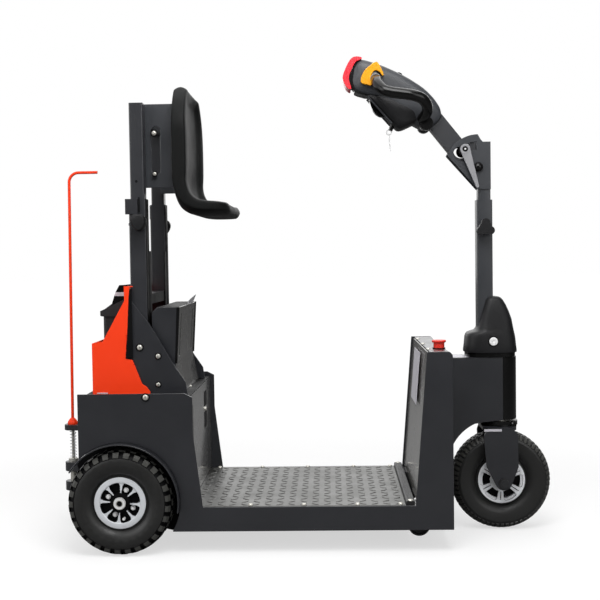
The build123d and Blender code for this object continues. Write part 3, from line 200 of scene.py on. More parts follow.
finishes = {
    "charcoalCoat": {"colour": colour(39, 40, 44), "rough": (0.3, 0.42), "coat": 0.35, "coatRough": 0.2,
                     "grain": (2600.0, 0.00005)},
    "treadAluminium": {"colour": colour(92, 92, 90), "rough": (0.34, 0.5), "metal": 0.8,
                       "grain": (900.0, 0.00005), "uneven": 0.1},
    "ribbedBlack": {"colour": colour(24, 24, 25), "rough": (0.4, 0.55)},
    "zincPlate": {"colour": colour(208, 206, 198), "rough": (0.3, 0.44), "metal": 0.6},
    "springSteel": {"colour": colour(205, 206, 209), "rough": (0.28, 0.4), "metal": 0.6},
    "castDark": {"colour": colour(36, 37, 39), "rough": (0.5, 0.7), "grain": (700.0, 0.00025)},
    "orangeCoat": {"colour": colour(255, 62, 14), "rough": (0.42, 0.54), "grain": (2600.0, 0.00005),
                   "uneven": 0.02, "specular": 0.3},
    "batteryPlastic": {"colour": colour(30, 30, 32), "rough": (0.36, 0.5), "grain": (1400.0, 0.0001)},
    "mouldedBlack": {"colour": colour(22, 22, 24), "rough": (0.4, 0.52), "grain": (1700.0, 0.00008),
                     "specular": 0.3},
    "glossBlack": {"colour": colour(12, 12, 12), "rough": (0.16, 0.24), "uneven": 0.03, "specular": 0.35},
    "yellowPlastic": {"colour": colour(236, 160, 8), "rough": (0.22, 0.32), "uneven": 0.03},
    "redPlastic": {"colour": colour(232, 38, 54), "rough": (0.22, 0.32), "uneven": 0.03},
    "tyreRubber": {"colour": colour(24, 24, 23), "rough": (0.42, 0.6), "grain": (1200.0, 0.0001),
                   "coat": 0.25, "coatRough": 0.3},
    # Tyre rubber made lighter for the lug tops: painted light on the blocks
    "lugRubber": {"colour": colour(64, 64, 61), "rough": (0.4, 0.55), "grain": (1200.0, 0.0001)},
    "silverRim": {"colour": colour(226, 229, 233), "rough": (0.3, 0.4), "metal": 0.15, "uneven": 0.02},
    "rollerRubber": {"colour": colour(20, 20, 21), "rough": (0.5, 0.65)},
    "seatFoam": {"colour": colour(15, 16, 16), "rough": (0.5, 0.62), "grain": (1500.0, 0.00012),
                 "specular": 0.13},
    # Pale labels and marks, and a painted highlight along the fork's top edge
    "labelPale": {"colour": colour(205, 203, 210), "rough": (0.5, 0.6), "uneven": 0.05, "patch": 30.0},
    # Near black: the colour of black parts such as washers and seams, and painted shade in slits, holes,
    # grooves, gaps and hollows
    "recessDark": {"colour": colour(9, 9, 10), "rough": (0.5, 0.65), "specular": 0.12},
    "brightZinc": {"colour": colour(245, 245, 245), "rough": (0.3, 0.42), "metal": 0.2},
    "leverGrey": {"colour": colour(150, 150, 153), "rough": (0.36, 0.5), "metal": 0.4},
    "headGrey": {"colour": colour(54, 56, 60), "rough": (0.34, 0.46), "grain": (1700.0, 0.00008)},
    # Charcoal made lighter for the posts and the seat bracket: painted light from above
    "postGrey": {"colour": colour(52, 54, 58), "rough": (0.3, 0.42), "coat": 0.35, "coatRough": 0.2},
    # The front rim and hub's silver made whiter: painted light where the fork's shade falls
    "rimWhite": {"colour": colour(250, 252, 255), "rough": (0.3, 0.4), "uneven": 0.02},
    "stopRed": {"colour": colour(226, 50, 36), "rough": (0.3, 0.4), "uneven": 0.03},
    # Lighter, glossier copies of the charcoal in soft patches: painted light and sheen on the column's rear
    # face and on the control box and housing fronts
    "columnShine": {"colour": colour(136, 134, 130), "rough": (0.2, 0.3), "coat": 1.0, "coatRough": 0.12,
                    "uneven": 0.12, "patch": 5.0},
    "panelShine": {"colour": colour(96, 95, 93), "rough": (0.2, 0.3), "coat": 1.0, "coatRough": 0.12,
                   "uneven": 0.14, "patch": 5.0},
}
slotFinish = {
    "charcoal_steel": "charcoalCoat", "tread_aluminium": "treadAluminium", "black_strip": "ribbedBlack",
    "bare_steel": "zincPlate", "spring_steel": "springSteel", "cast_iron": "castDark",
    "orange_steel": "orangeCoat", "battery_plastic": "batteryPlastic", "moulded_black": "mouldedBlack",
    "gloss_black": "glossBlack", "yellow_plastic": "yellowPlastic", "red_plastic": "redPlastic",
    "tyre": "tyreRubber", "silver_rim": "silverRim", "roller_rubber": "rollerRubber",
}

# Stage: a pale floor that fades into white, a surround and soft lamps

stage = {
    "floorHalf": 30.0,
    "floorColour": (0.95, 0.95, 0.95, 1.0),
    "floorBounce": (0.22, 0.22, 0.22, 1.0),
    "fade": (0.95, 1.9),
    "haze": 0.6,
    "hazeLevel": 1.03,
    "ambient": 0.28,
    "gloss": {"behind": 0.95, "front": 0.06, "from": -0.3, "to": 0.45, "toward": (-0.6, 0.8, 0.0)},
    "lamps": {
        "front": {"place": (0.1, -1.25, 2.15), "aim": (0.0, 0.0, 0.9), "size": 1.1, "power": 30.0},
        "key": {"place": (1.9, -2.4, 1.5), "aim": (0.2, 0.0, 0.5), "size": 1.8, "power": 20.0},
        "fill": {"place": (-2.4, -2.0, 1.7), "aim": (0.0, 0.0, 0.5), "size": 2.2, "power": 30.0},
        "top": {"place": (0.0, 0.2, 3.4), "aim": (0.0, 0.0, 0.3), "size": 3.0, "power": 40.0},
        "back": {"place": (0.2, 3.0, 2.4), "aim": (0.0, 0.0, 0.6), "size": 2.6, "power": 30.0},
    },
}


def makeStage():
    # To the camera the floor is pale paint under a white haze that thickens further out
    half = stage["floorHalf"]
    mesh = bpy.data.meshes.new("floor")
    mesh.from_pydata([(-half, -half, 0), (half, -half, 0), (half, half, 0), (-half, half, 0)], [],
                     [(0, 1, 2, 3)])
    floor = bpy.data.objects.new("floor", mesh)
    bpy.context.scene.collection.objects.link(floor)
    material = bpy.data.materials.new("floorPaint")
    material.use_nodes = True
    tree = material.node_tree
    paint = tree.nodes["Principled BSDF"]
    paint.inputs["Roughness"].default_value = 0.9
    paint.inputs["Specular IOR Level"].default_value = 0.0
    direct = addNode(tree, "ShaderNodeLightPath").outputs["Is Camera Ray"]
    tone = addNode(tree, "ShaderNodeMix", {"Factor": direct}, data_type="RGBA")
    tone.inputs[6].default_value = stage["floorBounce"]
    tone.inputs[7].default_value = stage["floorColour"]
    tree.links.new(tone.outputs[2], paint.inputs["Base Color"])
    where = addNode(tree, "ShaderNodeTexCoord").outputs["Object"]
    reach = addNode(tree, "ShaderNodeVectorMath", {0: where}, operation="LENGTH")
    low, high = stage["fade"]
    far = addNode(tree, "ShaderNodeMapRange", {"Value": reach.outputs["Value"]},
                  interpolation_type="SMOOTHSTEP", From_Min=low, From_Max=high, To_Min=stage["haze"])
    seen = addNode(tree, "ShaderNodeMath", {0: far.outputs["Result"], 1: direct}, operation="MULTIPLY")
    white = addNode(tree, "ShaderNodeEmission", Strength=stage["hazeLevel"])
    mixed = addNode(tree, "ShaderNodeMixShader", {
        0: seen.outputs[0], 1: paint.outputs[0], 2: white.outputs[0]})
    tree.links.new(mixed.outputs[0], tree.nodes["Material Output"].inputs["Surface"])
    mesh.materials.append(material)


def makeSurround():
    # White to the camera; in reflections bright beyond the machine and dim before it
    world = bpy.data.worlds.new("surround")
    bpy.context.scene.world = world
    world.use_nodes = True
    tree = world.node_tree
    tree.nodes.clear()
    path = addNode(tree, "ShaderNodeLightPath")
    gloss = stage["gloss"]
    ahead = addNode(tree, "ShaderNodeTexCoord").outputs["Generated"]
    heading = addNode(tree, "ShaderNodeVectorMath", {0: ahead}, operation="DOT_PRODUCT")
    heading.inputs[1].default_value = gloss["toward"]
    glow = addNode(tree, "ShaderNodeMapRange", {"Value": heading.outputs["Value"]},
                   interpolation_type="SMOOTHSTEP", From_Min=gloss["from"], From_Max=gloss["to"],
                   To_Min=gloss["front"], To_Max=gloss["behind"])
    level = addNode(tree, "ShaderNodeMix", {
        "Factor": path.outputs["Is Glossy Ray"], "B": glow.outputs["Result"]}, A=stage["ambient"])
    clear = addNode(tree, "ShaderNodeMath", {
        0: path.outputs["Is Camera Ray"], 1: path.outputs["Is Transmission Ray"]}, operation="MAXIMUM")
    shown = addNode(tree, "ShaderNodeMix", {
        "Factor": clear.outputs[0], "A": level.outputs["Result"]}, B=1.0)
    light = addNode(tree, "ShaderNodeBackground", {"Strength": shown.outputs["Result"]},
                    Color=(1.0, 1.0, 1.0, 1.0))
    addNode(tree, "ShaderNodeOutputWorld", {"Surface": light.outputs[0]})


def makeLamps():
    for name, lamp in stage["lamps"].items():
        data = bpy.data.lights.new(name, "AREA")
        data.shape = "SQUARE"
        data.size = lamp["size"]
        data.energy = lamp["power"]
        light = bpy.data.objects.new(name, data)
        light.visible_camera = False
        light.location = lamp["place"]
        light.rotation_euler = (Vector(lamp["aim"]) - light.location).to_track_quat("-Z", "Y").to_euler()
        bpy.context.scene.collection.objects.link(light)


# Shape helpers. A shape is its points, as an array, and its faces

def circle(count):
    # Cosine and sine of even steps once round
    angles = np.arange(count) * 2 * math.pi / count
    return np.cos(angles), np.sin(angles)


def squared(wave, power):
    # A sine or cosine with its size raised to a power; a smaller power makes a squarer outline
    return np.sign(wave) * np.abs(wave) ** power


def netShape(cloud, closed=False):
    # Rows of points joined by quads, and each row to its own start. A closed net joins its last row to its
    # first, and an open one has a cap on each
    rows, columns = cloud.shape[:2]
    index = np.arange(rows * columns).reshape(rows, columns)
    caps = [] if closed else [index[0].tolist(), index[-1, ::-1].tolist()]
    if closed:
        index = np.vstack([index, index[:1]])
    index = np.hstack([index, index[:, :1]])
    quads = np.stack([index[:-1, :-1], index[1:, :-1], index[1:, 1:], index[:-1, 1:]], -1)
    return cloud.reshape(-1, 3), quads.reshape(-1, 4).tolist() + caps


def sideAxes(direction):
    # A unit direction, and two more square to it and to each other
    axis = Vector(direction).normalized()
    other = Vector((0, 0, 1)) if abs(axis.z) < 0.9 else Vector((1, 0, 0))
    across = other.cross(axis).normalized()
    return np.array(axis), np.array(across), np.array(axis.cross(across))


def turned(profile, place, direction, count, ring=False):
    # Lathe: each (radius, height) pair goes round the axis; a ring's profile closes on itself
    axis, across, up = sideAxes(direction)
    cosine, sine = circle(count)
    spokes = cosine[:, None] * across + sine[:, None] * up
    cloud = np.array([np.array(place) + height * axis + radius * spokes for radius, height in profile])
    return netShape(cloud, ring)


def puck(place, direction, radius, height, count, base=0.0):
    return turned([(0.0, base), (radius, base), (radius, height), (0.0, height)], place, direction, count)


def washer(place, direction, inner, outer, height, count=28):
    return turned([(inner, 0.0), (outer, 0.0), (outer, height), (inner, height)], place, direction, count,
                  ring=True)


def domeScrew(place, direction, radius, height, count=20):
    # Pan head with a round dimple, its profile in shares of the radius and the height
    profile = [(1.0, 0.35), (0.86, 0.75), (0.55, 1.0), (0.26, 1.0), (0.2, 0.55), (0.0, 0.5)]
    return turned([(0.0, -0.0006), (radius, -0.0006)] + [(radius * a, height * b) for a, b in profile],
                  place, direction, count)


def swept(path, radius, count, closed=False):
    # Tube: a circle carried along the path, turned as little as the path allows
    path = np.array(path, dtype=float)
    before = np.roll(path, 1, 0) if closed else np.vstack([path[:1], path[:-1]])
    after = np.roll(path, -1, 0) if closed else np.vstack([path[1:], path[-1:]])
    heading = after - before
    heading /= np.linalg.norm(heading, axis=1)[:, None]
    side = sideAxes(heading[0])[1]
    cosine, sine = circle(count)
    cloud = []
    for point, ahead in zip(path, heading):
        side = side - ahead * side.dot(ahead)
        side /= np.linalg.norm(side)
        cloud.append(point + radius * (cosine[:, None] * side + sine[:, None] * np.cross(ahead, side)))
    return netShape(np.array(cloud), closed)


def prism(outline, low, high, axis="y"):
    # A closed outline pushed along an axis; its pairs are the other two coordinates in order
    first, second, along = {"x": (1, 2, 0), "y": (0, 2, 1), "z": (0, 1, 2)}[axis]
    cloud = np.zeros((2, len(outline), 3))
    cloud[..., first], cloud[..., second] = np.array(outline).T
    cloud[0, :, along], cloud[1, :, along] = low, high
    return netShape(cloud)


def brick(low, high):
    return prism([(low[0], low[1]), (high[0], low[1]), (high[0], high[1]), (low[0], high[1])],
                 low[2], high[2], "z")


def joined(*shapes):
    starts = np.cumsum([0] + [len(shape[0]) for shape in shapes]).tolist()
    faces = []
    for start, shape in zip(starts, shapes):
        faces += [[start + corner for corner in face] for face in shape[1]]
    return np.vstack([shape[0] for shape in shapes]), faces


def bothSides(shape):
    # The shape and its mirror image across the middle of the machine
    return joined(shape, (shape[0] * (1, -1, 1), [face[::-1] for face in shape[1]]))


def smoothLine(points, count):
    # A line through the points, rounded as the mean of the two parabolas that meet at each stretch
    points = np.array(points, dtype=float)
    padded = np.vstack([2 * points[0] - points[1], points, 2 * points[-1] - points[-2]])
    a, b, c, d = (padded[start:start + len(points) - 1, None] for start in range(4))
    t = (np.arange(count) / count)[:, None]
    line = 0.5 * (2 * b + (c - a) * t + (2 * a - 5 * b + 4 * c - d) * t ** 2
                  + (3 * b - a - 3 * c + d) * t ** 3)
    return np.vstack([line.reshape(-1, points.shape[1]), points[-1:]])


def rounded(outline, times=2):
    # Corner cutting: every edge keeps its middle half, which rounds a closed outline each time
    line = np.array(outline, dtype=float)
    for _ in range(times):
        ahead = np.roll(line, -1, axis=0)
        line = np.stack([0.75 * line + 0.25 * ahead, 0.25 * line + 0.75 * ahead], 1).reshape(-1, 2)
    return line


def makePiece(name, body, shapes, stands=(), soften=0.0, steps=2, sharp=35.0, pair=False):
    # One object. Each shape comes with its finish, or one for each face; a pair has a mirror image too
    if pair:
        shapes = [(bothSides(shape), coat) for shape, coat in shapes]
    points, faces = joined(*(shape for shape, coat in shapes))
    coats = []
    for shape, coat in shapes:
        coats += [coat] * len(shape[1]) if isinstance(coat, str) else coat
    kinds = list(dict.fromkeys(coats))
    mesh = bpy.data.meshes.new(name)
    mesh.from_pydata(points, [], faces)
    for kind in kinds:
        mesh.materials.append(materials[kind])
    mesh.polygons.foreach_set("material_index", [kinds.index(coat) for coat in coats])
    mesh.polygons.foreach_set("use_smooth", [True] * len(faces))
    work = bmesh.new()
    work.from_mesh(mesh)
    bmesh.ops.remove_doubles(work, verts=work.verts, dist=1e-7)  # closes the lathe's poles
    bmesh.ops.recalc_face_normals(work, faces=work.faces)
    work.to_mesh(mesh)
    work.free()
    piece = bpy.data.objects.new(name, mesh)
    bpy.context.scene.collection.objects.link(piece)
    if soften:
        bevel = piece.modifiers.new("softEdges", "BEVEL")
        bevel.width = soften
        bevel.segments = steps
        bevel.limit_method = "ANGLE"
        bevel.angle_limit = math.radians(28)
        bevel.harden_normals = True
    else:
        mesh.set_sharp_from_angle(angle=math.radians(sharp))
    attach(piece, body)
    if stands:
        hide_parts(*stands)
    return piece


def nodeShape(node, cutX=None):
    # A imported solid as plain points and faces: doubles merged, flat neighbours joined, then split at one x
    work = bmesh.new()
    work.from_mesh(nodes[node].data)
    bmesh.ops.remove_doubles(work, verts=work.verts, dist=1e-5)
    bmesh.ops.dissolve_limit(work, angle_limit=math.radians(1), verts=work.verts, edges=work.edges)
    if cutX is not None:
        bmesh.ops.bisect_plane(work, geom=work.verts[:] + work.edges[:] + work.faces[:], dist=1e-6,
                               plane_co=(cutX, 0, 0), plane_no=(1, 0, 0))
    work.verts.index_update()
    points = np.array([vertex.co for vertex in work.verts])
    faces = [[vertex.index for vertex in face.verts] for face in work.faces]
    work.free()
    return points, faces


def faceFacts(shape):
    # Middle and unit normal of each face; the normal is the sum of the cross products round it
    corners = [shape[0][face] for face in shape[1]]
    normals = np.array([np.cross(ring, np.roll(ring, -1, axis=0)).sum(axis=0) for ring in corners])
    lengths = np.maximum(np.linalg.norm(normals, axis=1, keepdims=True), 1e-12)
    return np.array([ring.mean(axis=0) for ring in corners]), normals / lengths


def finishNodes():
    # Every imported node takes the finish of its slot
    for node, slotName in slotOf.items():
        mesh = nodes[node].data
        mesh.materials.clear()
        mesh.materials.append(materials[slotFinish[slotName]])


def formNode(node, shape, coats, soften=0.0):
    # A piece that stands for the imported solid
    makePiece(node + "_formed", bodyOf[node], [(shape, coats)], stands=[node], soften=soften)


def softenNode(node, width, coat=None):
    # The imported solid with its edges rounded
    formNode(node, nodeShape(node), coat or slotFinish[slotOf[node]], width)


# Wheels

wheels = {
    "rearX": -0.461, "frontX": 0.529, "height": 0.134, "halfTrack": 0.233,
    "halfWidth": 0.042, "radius": 0.134, "inner": (0.058, 0.026),
    "rimHalf": 0.03, "rimSteps": 360,
}
tyres = {
    "rear": {
        "bead": 0.0655, "depth": 0.0052, "pitches": 29, "square": 0.78, "paintedShadeTo": 74,
        "bands": [(-13, 13, 0.0, 1.0), (17, 33, 0.5, 1.0), (37, 72, 0.0, 1.0), (84, 99, 0.0, 0.32)],
        "edges": (0.17, 0.22),
    },
    "front": {
        "bead": 0.0635, "depth": 0.0018, "pitches": 58, "square": 0.84, "paintedShadeTo": 0,
        "bands": [(-8, 8, 0.0, 1.0), (12, 27, 0.5, 1.0), (31, 66, 0.0, 1.0)],
        "edges": (0.16, 0.24),
    },
}
rims = {
    "rear": {
        "flange": 0.065, "ring": 0.051, "hub": 0.0245, "depth": 0.011, "lip": 1.0,
        "count": 8, "turn": -5.0, "spoke": (0.0014, 0.0046), "fillet": 0.009, "twin": 0.0,
        "coat": "silverRim", "hubCoat": "recessDark",
    },
    "front": {
        "flange": 0.063, "ring": 0.0578, "hub": 0.031, "depth": 0.012, "lip": 0.2,
        "count": 6, "turn": 26.5, "spoke": (0.0068, 0.0108), "fillet": 0.008, "twin": 0.0007,
        "coat": "rimWhite", "hubCoat": "rimWhite",
    },
}
wheelFittings = {
    "face": 0.0185, "bolts": (0.034, (-25, 65, 155, 245)), "valvePlace": (0.041, -77),
    "bolt": [(0.0, 0.0), (0.005, 0.0), (0.005, 0.0045), (0.0042, 0.006), (0.0, 0.006)],
    "valve": [(0.0, 0.0), (0.003, 0.0), (0.003, 0.009), (0.0036, 0.009), (0.0036, 0.014), (0.0, 0.0145)],
    "capReach": 0.271,
    "cap": [(0.0095, -0.0065), (0.0149, -0.0065), (0.0156, -0.003), (0.014, 0.0), (0.01, 0.0006),
            (0.0075, -0.0004), (0.007, -0.003)],
    "collar": [(0.0098, -0.0022), (0.0124, -0.0022), (0.0124, 0.0), (0.0098, 0.0)], "collarReach": 0.0724,
}


def tyreShape(form):
    # Tyre: a rounded square turned round the axle, lifted by the tread depth inside each block. Its radius
    # is the middle plus a power of the cosine, and its reach across is a power of the sine
    crown, half = wheels["radius"] - form["depth"], wheels["halfWidth"]
    middle = 0.6 * crown + 0.4 * form["bead"]
    low, high = form["edges"]
    steps = sorted({round(sign * edge + shift, 4) % 1 for edge in (low, high) for sign in (1, -1)
                    for shift in (0.0, 0.5)} | {0.0, 0.5})
    phases = (np.arange(form["pitches"])[:, None] + steps).reshape(-1)
    around = phases / form["pitches"] * 2 * math.pi
    marks = {0.0, 78.0, 108.0, 120.0, 132.0, 142.0, 150.0}
    for start, end, shift, rise in form["bands"]:
        marks |= {abs(start), abs(end), abs(start) + 1.6, abs(end) - 1.6, (start + end) / 2}
    angles = np.array(sorted({sign * mark for mark in marks for sign in (1, -1)}))
    cosine, sine = np.cos(np.radians(angles)), np.sin(np.radians(angles))
    upper = np.where(cosine > 0, crown - middle, middle - form["bead"])
    radius = middle + upper * squared(cosine, form["square"])
    across = half * squared(sine, form["square"])
    lift = np.zeros((len(phases), len(angles)))
    raised = np.zeros((len(phases), len(angles) + 2), bool)
    for start, end, shift, rise in form["bands"]:
        inBand = (np.abs(angles) > start + 0.1) & (np.abs(angles) < end - 0.1)
        cell = np.abs((phases + shift + 0.5) % 1 - 0.5)
        onBlock = np.clip((cell - low) / (high - low), 0, 1)[:, None]
        lift += form["depth"] * rise * onBlock * inBand
        raised[:, :-2] |= (onBlock > 0.99) & inBand & (rise == 1.0)
    innerRadius, innerHalf = wheels["inner"]
    ones = np.ones((len(phases), 2))
    radius = np.hstack([radius + lift * cosine, ones * innerRadius])
    across = np.hstack([np.clip(across + lift * sine, -half, half), ones * (innerHalf, -innerHalf)])
    cloud = np.stack([radius * np.cos(around)[:, None], across, radius * np.sin(around)[:, None]], -1)
    corners = [np.roll(raised, (row, column), axis=(0, 1)) for row in (0, -1) for column in (0, -1)]
    # Block tops take a lighter rubber, which is painted light, and the groove floors near the tread take
    # painted shade
    groove = np.concatenate([np.abs(angles) < form["paintedShadeTo"], [False, False]])
    groove = groove & np.roll(groove, -1)
    coats = np.where(np.all(corners, axis=0), "lugRubber", np.where(groove, "recessDark", "tyreRubber"))
    return netShape(cloud, closed=True), coats.reshape(-1).tolist()


def rimShape(form):
    # Cast rim: a lathe profile whose outer face sinks between the spokes. The sink is the pocket depth
    # where the distance from the nearest spoke's middle line passes that spoke's half width, which widens
    # by a quarter circle near the ring
    half, count = wheels["rimHalf"], wheels["rimSteps"]
    hub, ring, flange = form["hub"], form["ring"], form["flange"]
    reach = np.array([0.001, 0.012, 0.02, hub, hub + 0.0008, *np.linspace(hub + 0.003, ring - 0.0008, 12),
                      ring, ring + 0.0012, flange - 0.003, flange])
    level = half - form["lip"] * np.array([0.004] * 4 + [0.003] * 13 + [0.002, 0.0005, 0.0, 0.001])
    angles = np.arange(count) * 2 * math.pi / count
    pitch = 2 * math.pi / form["count"]
    nearest = np.abs((angles - math.radians(form["turn"]) + pitch / 2) % pitch - pitch / 2)
    side = reach[:, None] * np.sin(nearest)
    narrow, wide = form["spoke"]
    width = narrow + (wide - narrow) * np.clip((reach - hub) / (ring - hub), 0, 1)
    bite = np.clip(form["fillet"] - (ring - reach), 0, form["fillet"])
    width += form["fillet"] - np.sqrt(form["fillet"] ** 2 - bite ** 2)
    slit = side < form["twin"]
    sunk = (side > width[:, None]) & ((reach > hub) & (reach < ring - 0.0004))[:, None]
    sunk |= slit & ((reach > hub + 0.002) & (reach < ring - 0.004))[:, None]
    face = level[:, None] - form["depth"] * sunk * np.where(slit, 0.35, 1.0)
    dark = sunk | ((reach <= hub) & (form["hubCoat"] == "recessDark"))[:, None]
    back = np.array([(flange, half - 0.003), (0.0512, half - 0.003), (0.0512, -half + 0.003),
                     (flange, -half + 0.003), (flange, -half), (0.048, -half), (0.046, -half + 0.004),
                     (0.022, -half + 0.01), (0.021, -half), (0.001, -half)])
    radii = np.concatenate([reach, back[:, 0]])[:, None]
    heights = np.vstack([face, np.repeat(back[:, 1:], count, axis=1)])
    cloud = np.stack([radii * np.cos(angles), heights, radii * np.sin(angles)], -1)
    dark = np.vstack([dark, np.zeros((len(back), count), bool)])
    dark = dark[:-1] | dark[1:]
    dark |= np.roll(dark, -1, axis=1)
    coats = np.where(dark.reshape(-1), "recessDark", form["coat"]).tolist()
    return netShape(cloud), coats + [form["hubCoat"], "castDark"]


def wheelPiece(name, body, kind, x, y):
    # The outer face looks away from the middle of the machine
    centre = np.array([x, y, wheels["height"]])
    tyreName = name.replace("rim", "tyre")
    (points, faces), coats = tyreShape(tyres[kind])
    makePiece(tyreName + "_formed", body, [((points + centre, faces), coats)], stands=[tyreName],
              sharp=24.0)
    (points, faces), coats = rimShape(rims[kind])
    points = points * (1, 1 if y > 0 else -1, 1) + centre
    makePiece(name + "_formed", body, [((points, faces), coats)], stands=[name], sharp=30.0)


def wheelBolts(name, body, x, y, outward):
    # Wheel bolts between the spokes, and the valve stem
    def at(radius, turn):
        turn = math.radians(turn)
        return (x + radius * math.cos(turn), y + outward[1] * wheelFittings["face"],
                wheels["height"] + radius * math.sin(turn))
    heads = []
    radius, turns = wheelFittings["bolts"]
    for turn in turns:
        heads.append(turned(wheelFittings["bolt"], at(radius, turn), outward, 6))
        heads.append(puck(at(radius, turn), outward, 0.0064, 0.0012, 20, base=-0.0005))
    heads.append(turned(wheelFittings["valve"], at(*wheelFittings["valvePlace"]), outward, 12))
    makePiece(name, body, [(head, "brightZinc") for head in heads])


def makeWheels():
    for side, sign in (("right", -1), ("left", 1)):
        x, y, body = wheels["rearX"], sign * wheels["halfTrack"], "wheel_rear_" + side
        outward = (0, sign, 0)
        wheelPiece("rear_rim_" + side, body, "rear", x, y)
        wheelBolts("wheelBolts_" + side, body, x, y, outward)
        place = (x, sign * wheelFittings["capReach"], wheels["height"])
        cap = turned(wheelFittings["cap"], place, outward, 32, ring=True)
        # The dark disc deep in the cap is painted shade in its hole
        hole = puck(place, outward, 0.0072, -0.0031, 24, base=-0.0038)
        makePiece("axleCap_" + side, "chassis", [(cap, "brightZinc"), (hole, "recessDark")])
    wheelPiece("front_rim", "wheel_front", "front", wheels["frontX"], 0.0)
    place = (wheels["frontX"], -wheelFittings["collarReach"], wheels["height"])
    collar = turned(wheelFittings["collar"], place, (0, -1, 0), 32, ring=True)
    makePiece("axleWasher_right", "steering", [(collar, "treadAluminium")], pair=True)


# Body: deck tread, strips, screws and labels

deck = {
    "x": (-0.2875, 0.2555), "y": (-0.245, 0.245), "top": 0.12, "pitch": 0.03, "margin": 0.016,
    "bar": (0.0125, 0.0045), "rise": 0.0014,
    "screws": (-0.262, -0.135, 0.0, 0.135, 0.243), "screwY": 0.236,
    "ribs": (0.26, 0.5, 0.74), "ribRadius": 0.0019, "ribInset": 0.006, "stripScrewY": 0.2385,
}


def deckTread():
    # Tread: raised bars at 45 degrees, each at a right angle to its neighbours. Each is a low mound whose
    # outline is an oval, drawn in twice as it rises
    cosine, sine = circle(10)
    length, width = deck["bar"]
    rings = ((1.0, 1.0, -0.0002), (0.88, 0.82, 0.75 * deck["rise"]), (0.51, 0.45, deck["rise"]))
    mound = np.array([np.stack([length * along * cosine, width * beside * sine, np.full(10, height)], -1)
                      for along, beside, height in rings])
    half = math.sqrt(0.5)
    leans = [np.array([(half, lean * half, 0), (-lean * half, half, 0), (0, 0, 1)]) for lean in (-1, 1)]
    low, high = np.array([deck["x"], deck["y"]]).T
    low, high = low + deck["margin"], high - deck["margin"]
    bars = []
    for cell in np.ndindex(*((high - low) / deck["pitch"] + 1).astype(int)):
        place = (*(low + np.array(cell) * deck["pitch"]), deck["top"])
        bars.append(netShape(mound @ leans[sum(cell) % 2] + place))
    makePiece("deckTread", "chassis", [(joined(*bars), "treadAluminium")], sharp=60.0)


def makeDeck():
    deckTread()
    up = (0, 0, 1)
    screws = [domeScrew((x, y, deck["top"]), up, 0.0062, 0.0042)
              for y in (deck["screwY"], -deck["screwY"]) for x in deck["screws"]]
    makePiece("deckScrews", "chassis", [(screw, "zincPlate") for screw in screws])
    low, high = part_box("toe_strip")
    ribs = []
    for share in deck["ribs"]:
        x = low[0] + share * (high[0] - low[0])
        ends = [(x, y, high[2] - 0.0006) for y in (low[1] + deck["ribInset"], high[1] - deck["ribInset"])]
        ribs.append(swept(ends, deck["ribRadius"], 10))
    makePiece("toeRibs", "chassis", [(rib, "ribbedBlack") for rib in ribs])
    softenNode("toe_strip", 0.0012)
    ends = [domeScrew(((low[0] + high[0]) / 2, y, high[2] - 0.0002), up, 0.0068, 0.0028)
            for y in (deck["stripScrewY"], -deck["stripScrewY"])]
    makePiece("toeScrews", "chassis", [(end, "zincPlate") for end in ends])


bodyScrews = {
    "headHeight": 0.0042, "washerHeight": 0.0014, "washerShares": (0.3, 1.42),
    "sides": [(-0.417, -0.184, 0.518, 0.0072), (-0.37, -0.184, 0.495, 0.0062),
              (-0.371, -0.184, 0.422, 0.0056), (-0.393, -0.25, 0.398, 0.0074)],
    "panel": ((-0.2874, 0.11, 0.3158), (1, 0, 0), 0.006, 0.004),
    "shelf": ((-0.315, -0.0085, 0.394), (0, 0, 1), 0.0068, 0.004),
    "columnTop": (0.3225, (0.16, -0.009, -0.16), 0.503),
}


def makeBolts():
    # Pale domed screws; those on the sides have dark washers and are alike right and left
    shapes, thick = [], bodyScrews["washerHeight"]
    inner, outer = bodyScrews["washerShares"]
    for x, y, z, radius in bodyScrews["sides"]:
        head = domeScrew((x, y - thick, z), (0, -1, 0), radius, bodyScrews["headHeight"])
        ring = washer((x, y, z), (0, -1, 0), inner * radius, outer * radius, thick)
        shapes += [(bothSides(head), "zincPlate"), (bothSides(ring), "recessDark")]
    x, ys, z = bodyScrews["columnTop"]
    heads = [bodyScrews["panel"], bodyScrews["shelf"]] + [((x, y, z), (0, 0, 1), 0.006, 0.003) for y in ys]
    shapes += [(domeScrew(*head), "zincPlate") for head in heads]
    makePiece("bodyScrews", "chassis", shapes)


labels = {
    "neckTop": {"middle": (0.432, 0.0, 0.468), "across": (1, 0, 0), "up": (0, 1, 0), "size": (0.08, 0.062)},
    "columnFace": {"middle": (0.3038, 0.02, 0.415), "across": (0, -1, 0), "up": (31, 0, 384),
                   "size": (0.17, 0.14)},
}


def roundedOblong(width, height, radius, count=5):
    # Corners of an oblong, each swapped for a quarter circle
    angles = np.radians(90 * np.arange(4)[:, None] + 90 * np.arange(count + 1) / count)
    corners = np.array([(1, 1), (-1, 1), (-1, -1), (1, -1)]) * (width / 2 - radius, height / 2 - radius)
    return (corners[:, None] + radius * np.stack([np.cos(angles), np.sin(angles)], -1)).reshape(-1, 2)


def plateShape(label, radius=0.004, thickness=0.0006):
    # A blank plate lying on any flat face: across and up are its two directions
    across, up = (np.array(label[key]) / np.linalg.norm(label[key]) for key in ("across", "up"))
    normal = np.cross(across, up)
    outline = roundedOblong(*label["size"], radius)
    flat = np.array(label["middle"]) + outline[:, :1] * across + outline[:, 1:] * up
    return netShape(np.array([flat - normal * 0.0002, flat + normal * thickness]))


def makeLabels():
    makePiece("blankLabels", "chassis",
              [(plateShape(label), "labelPale") for label in labels.values()])


# Seat: one moulded shell of padded foam with raised sides

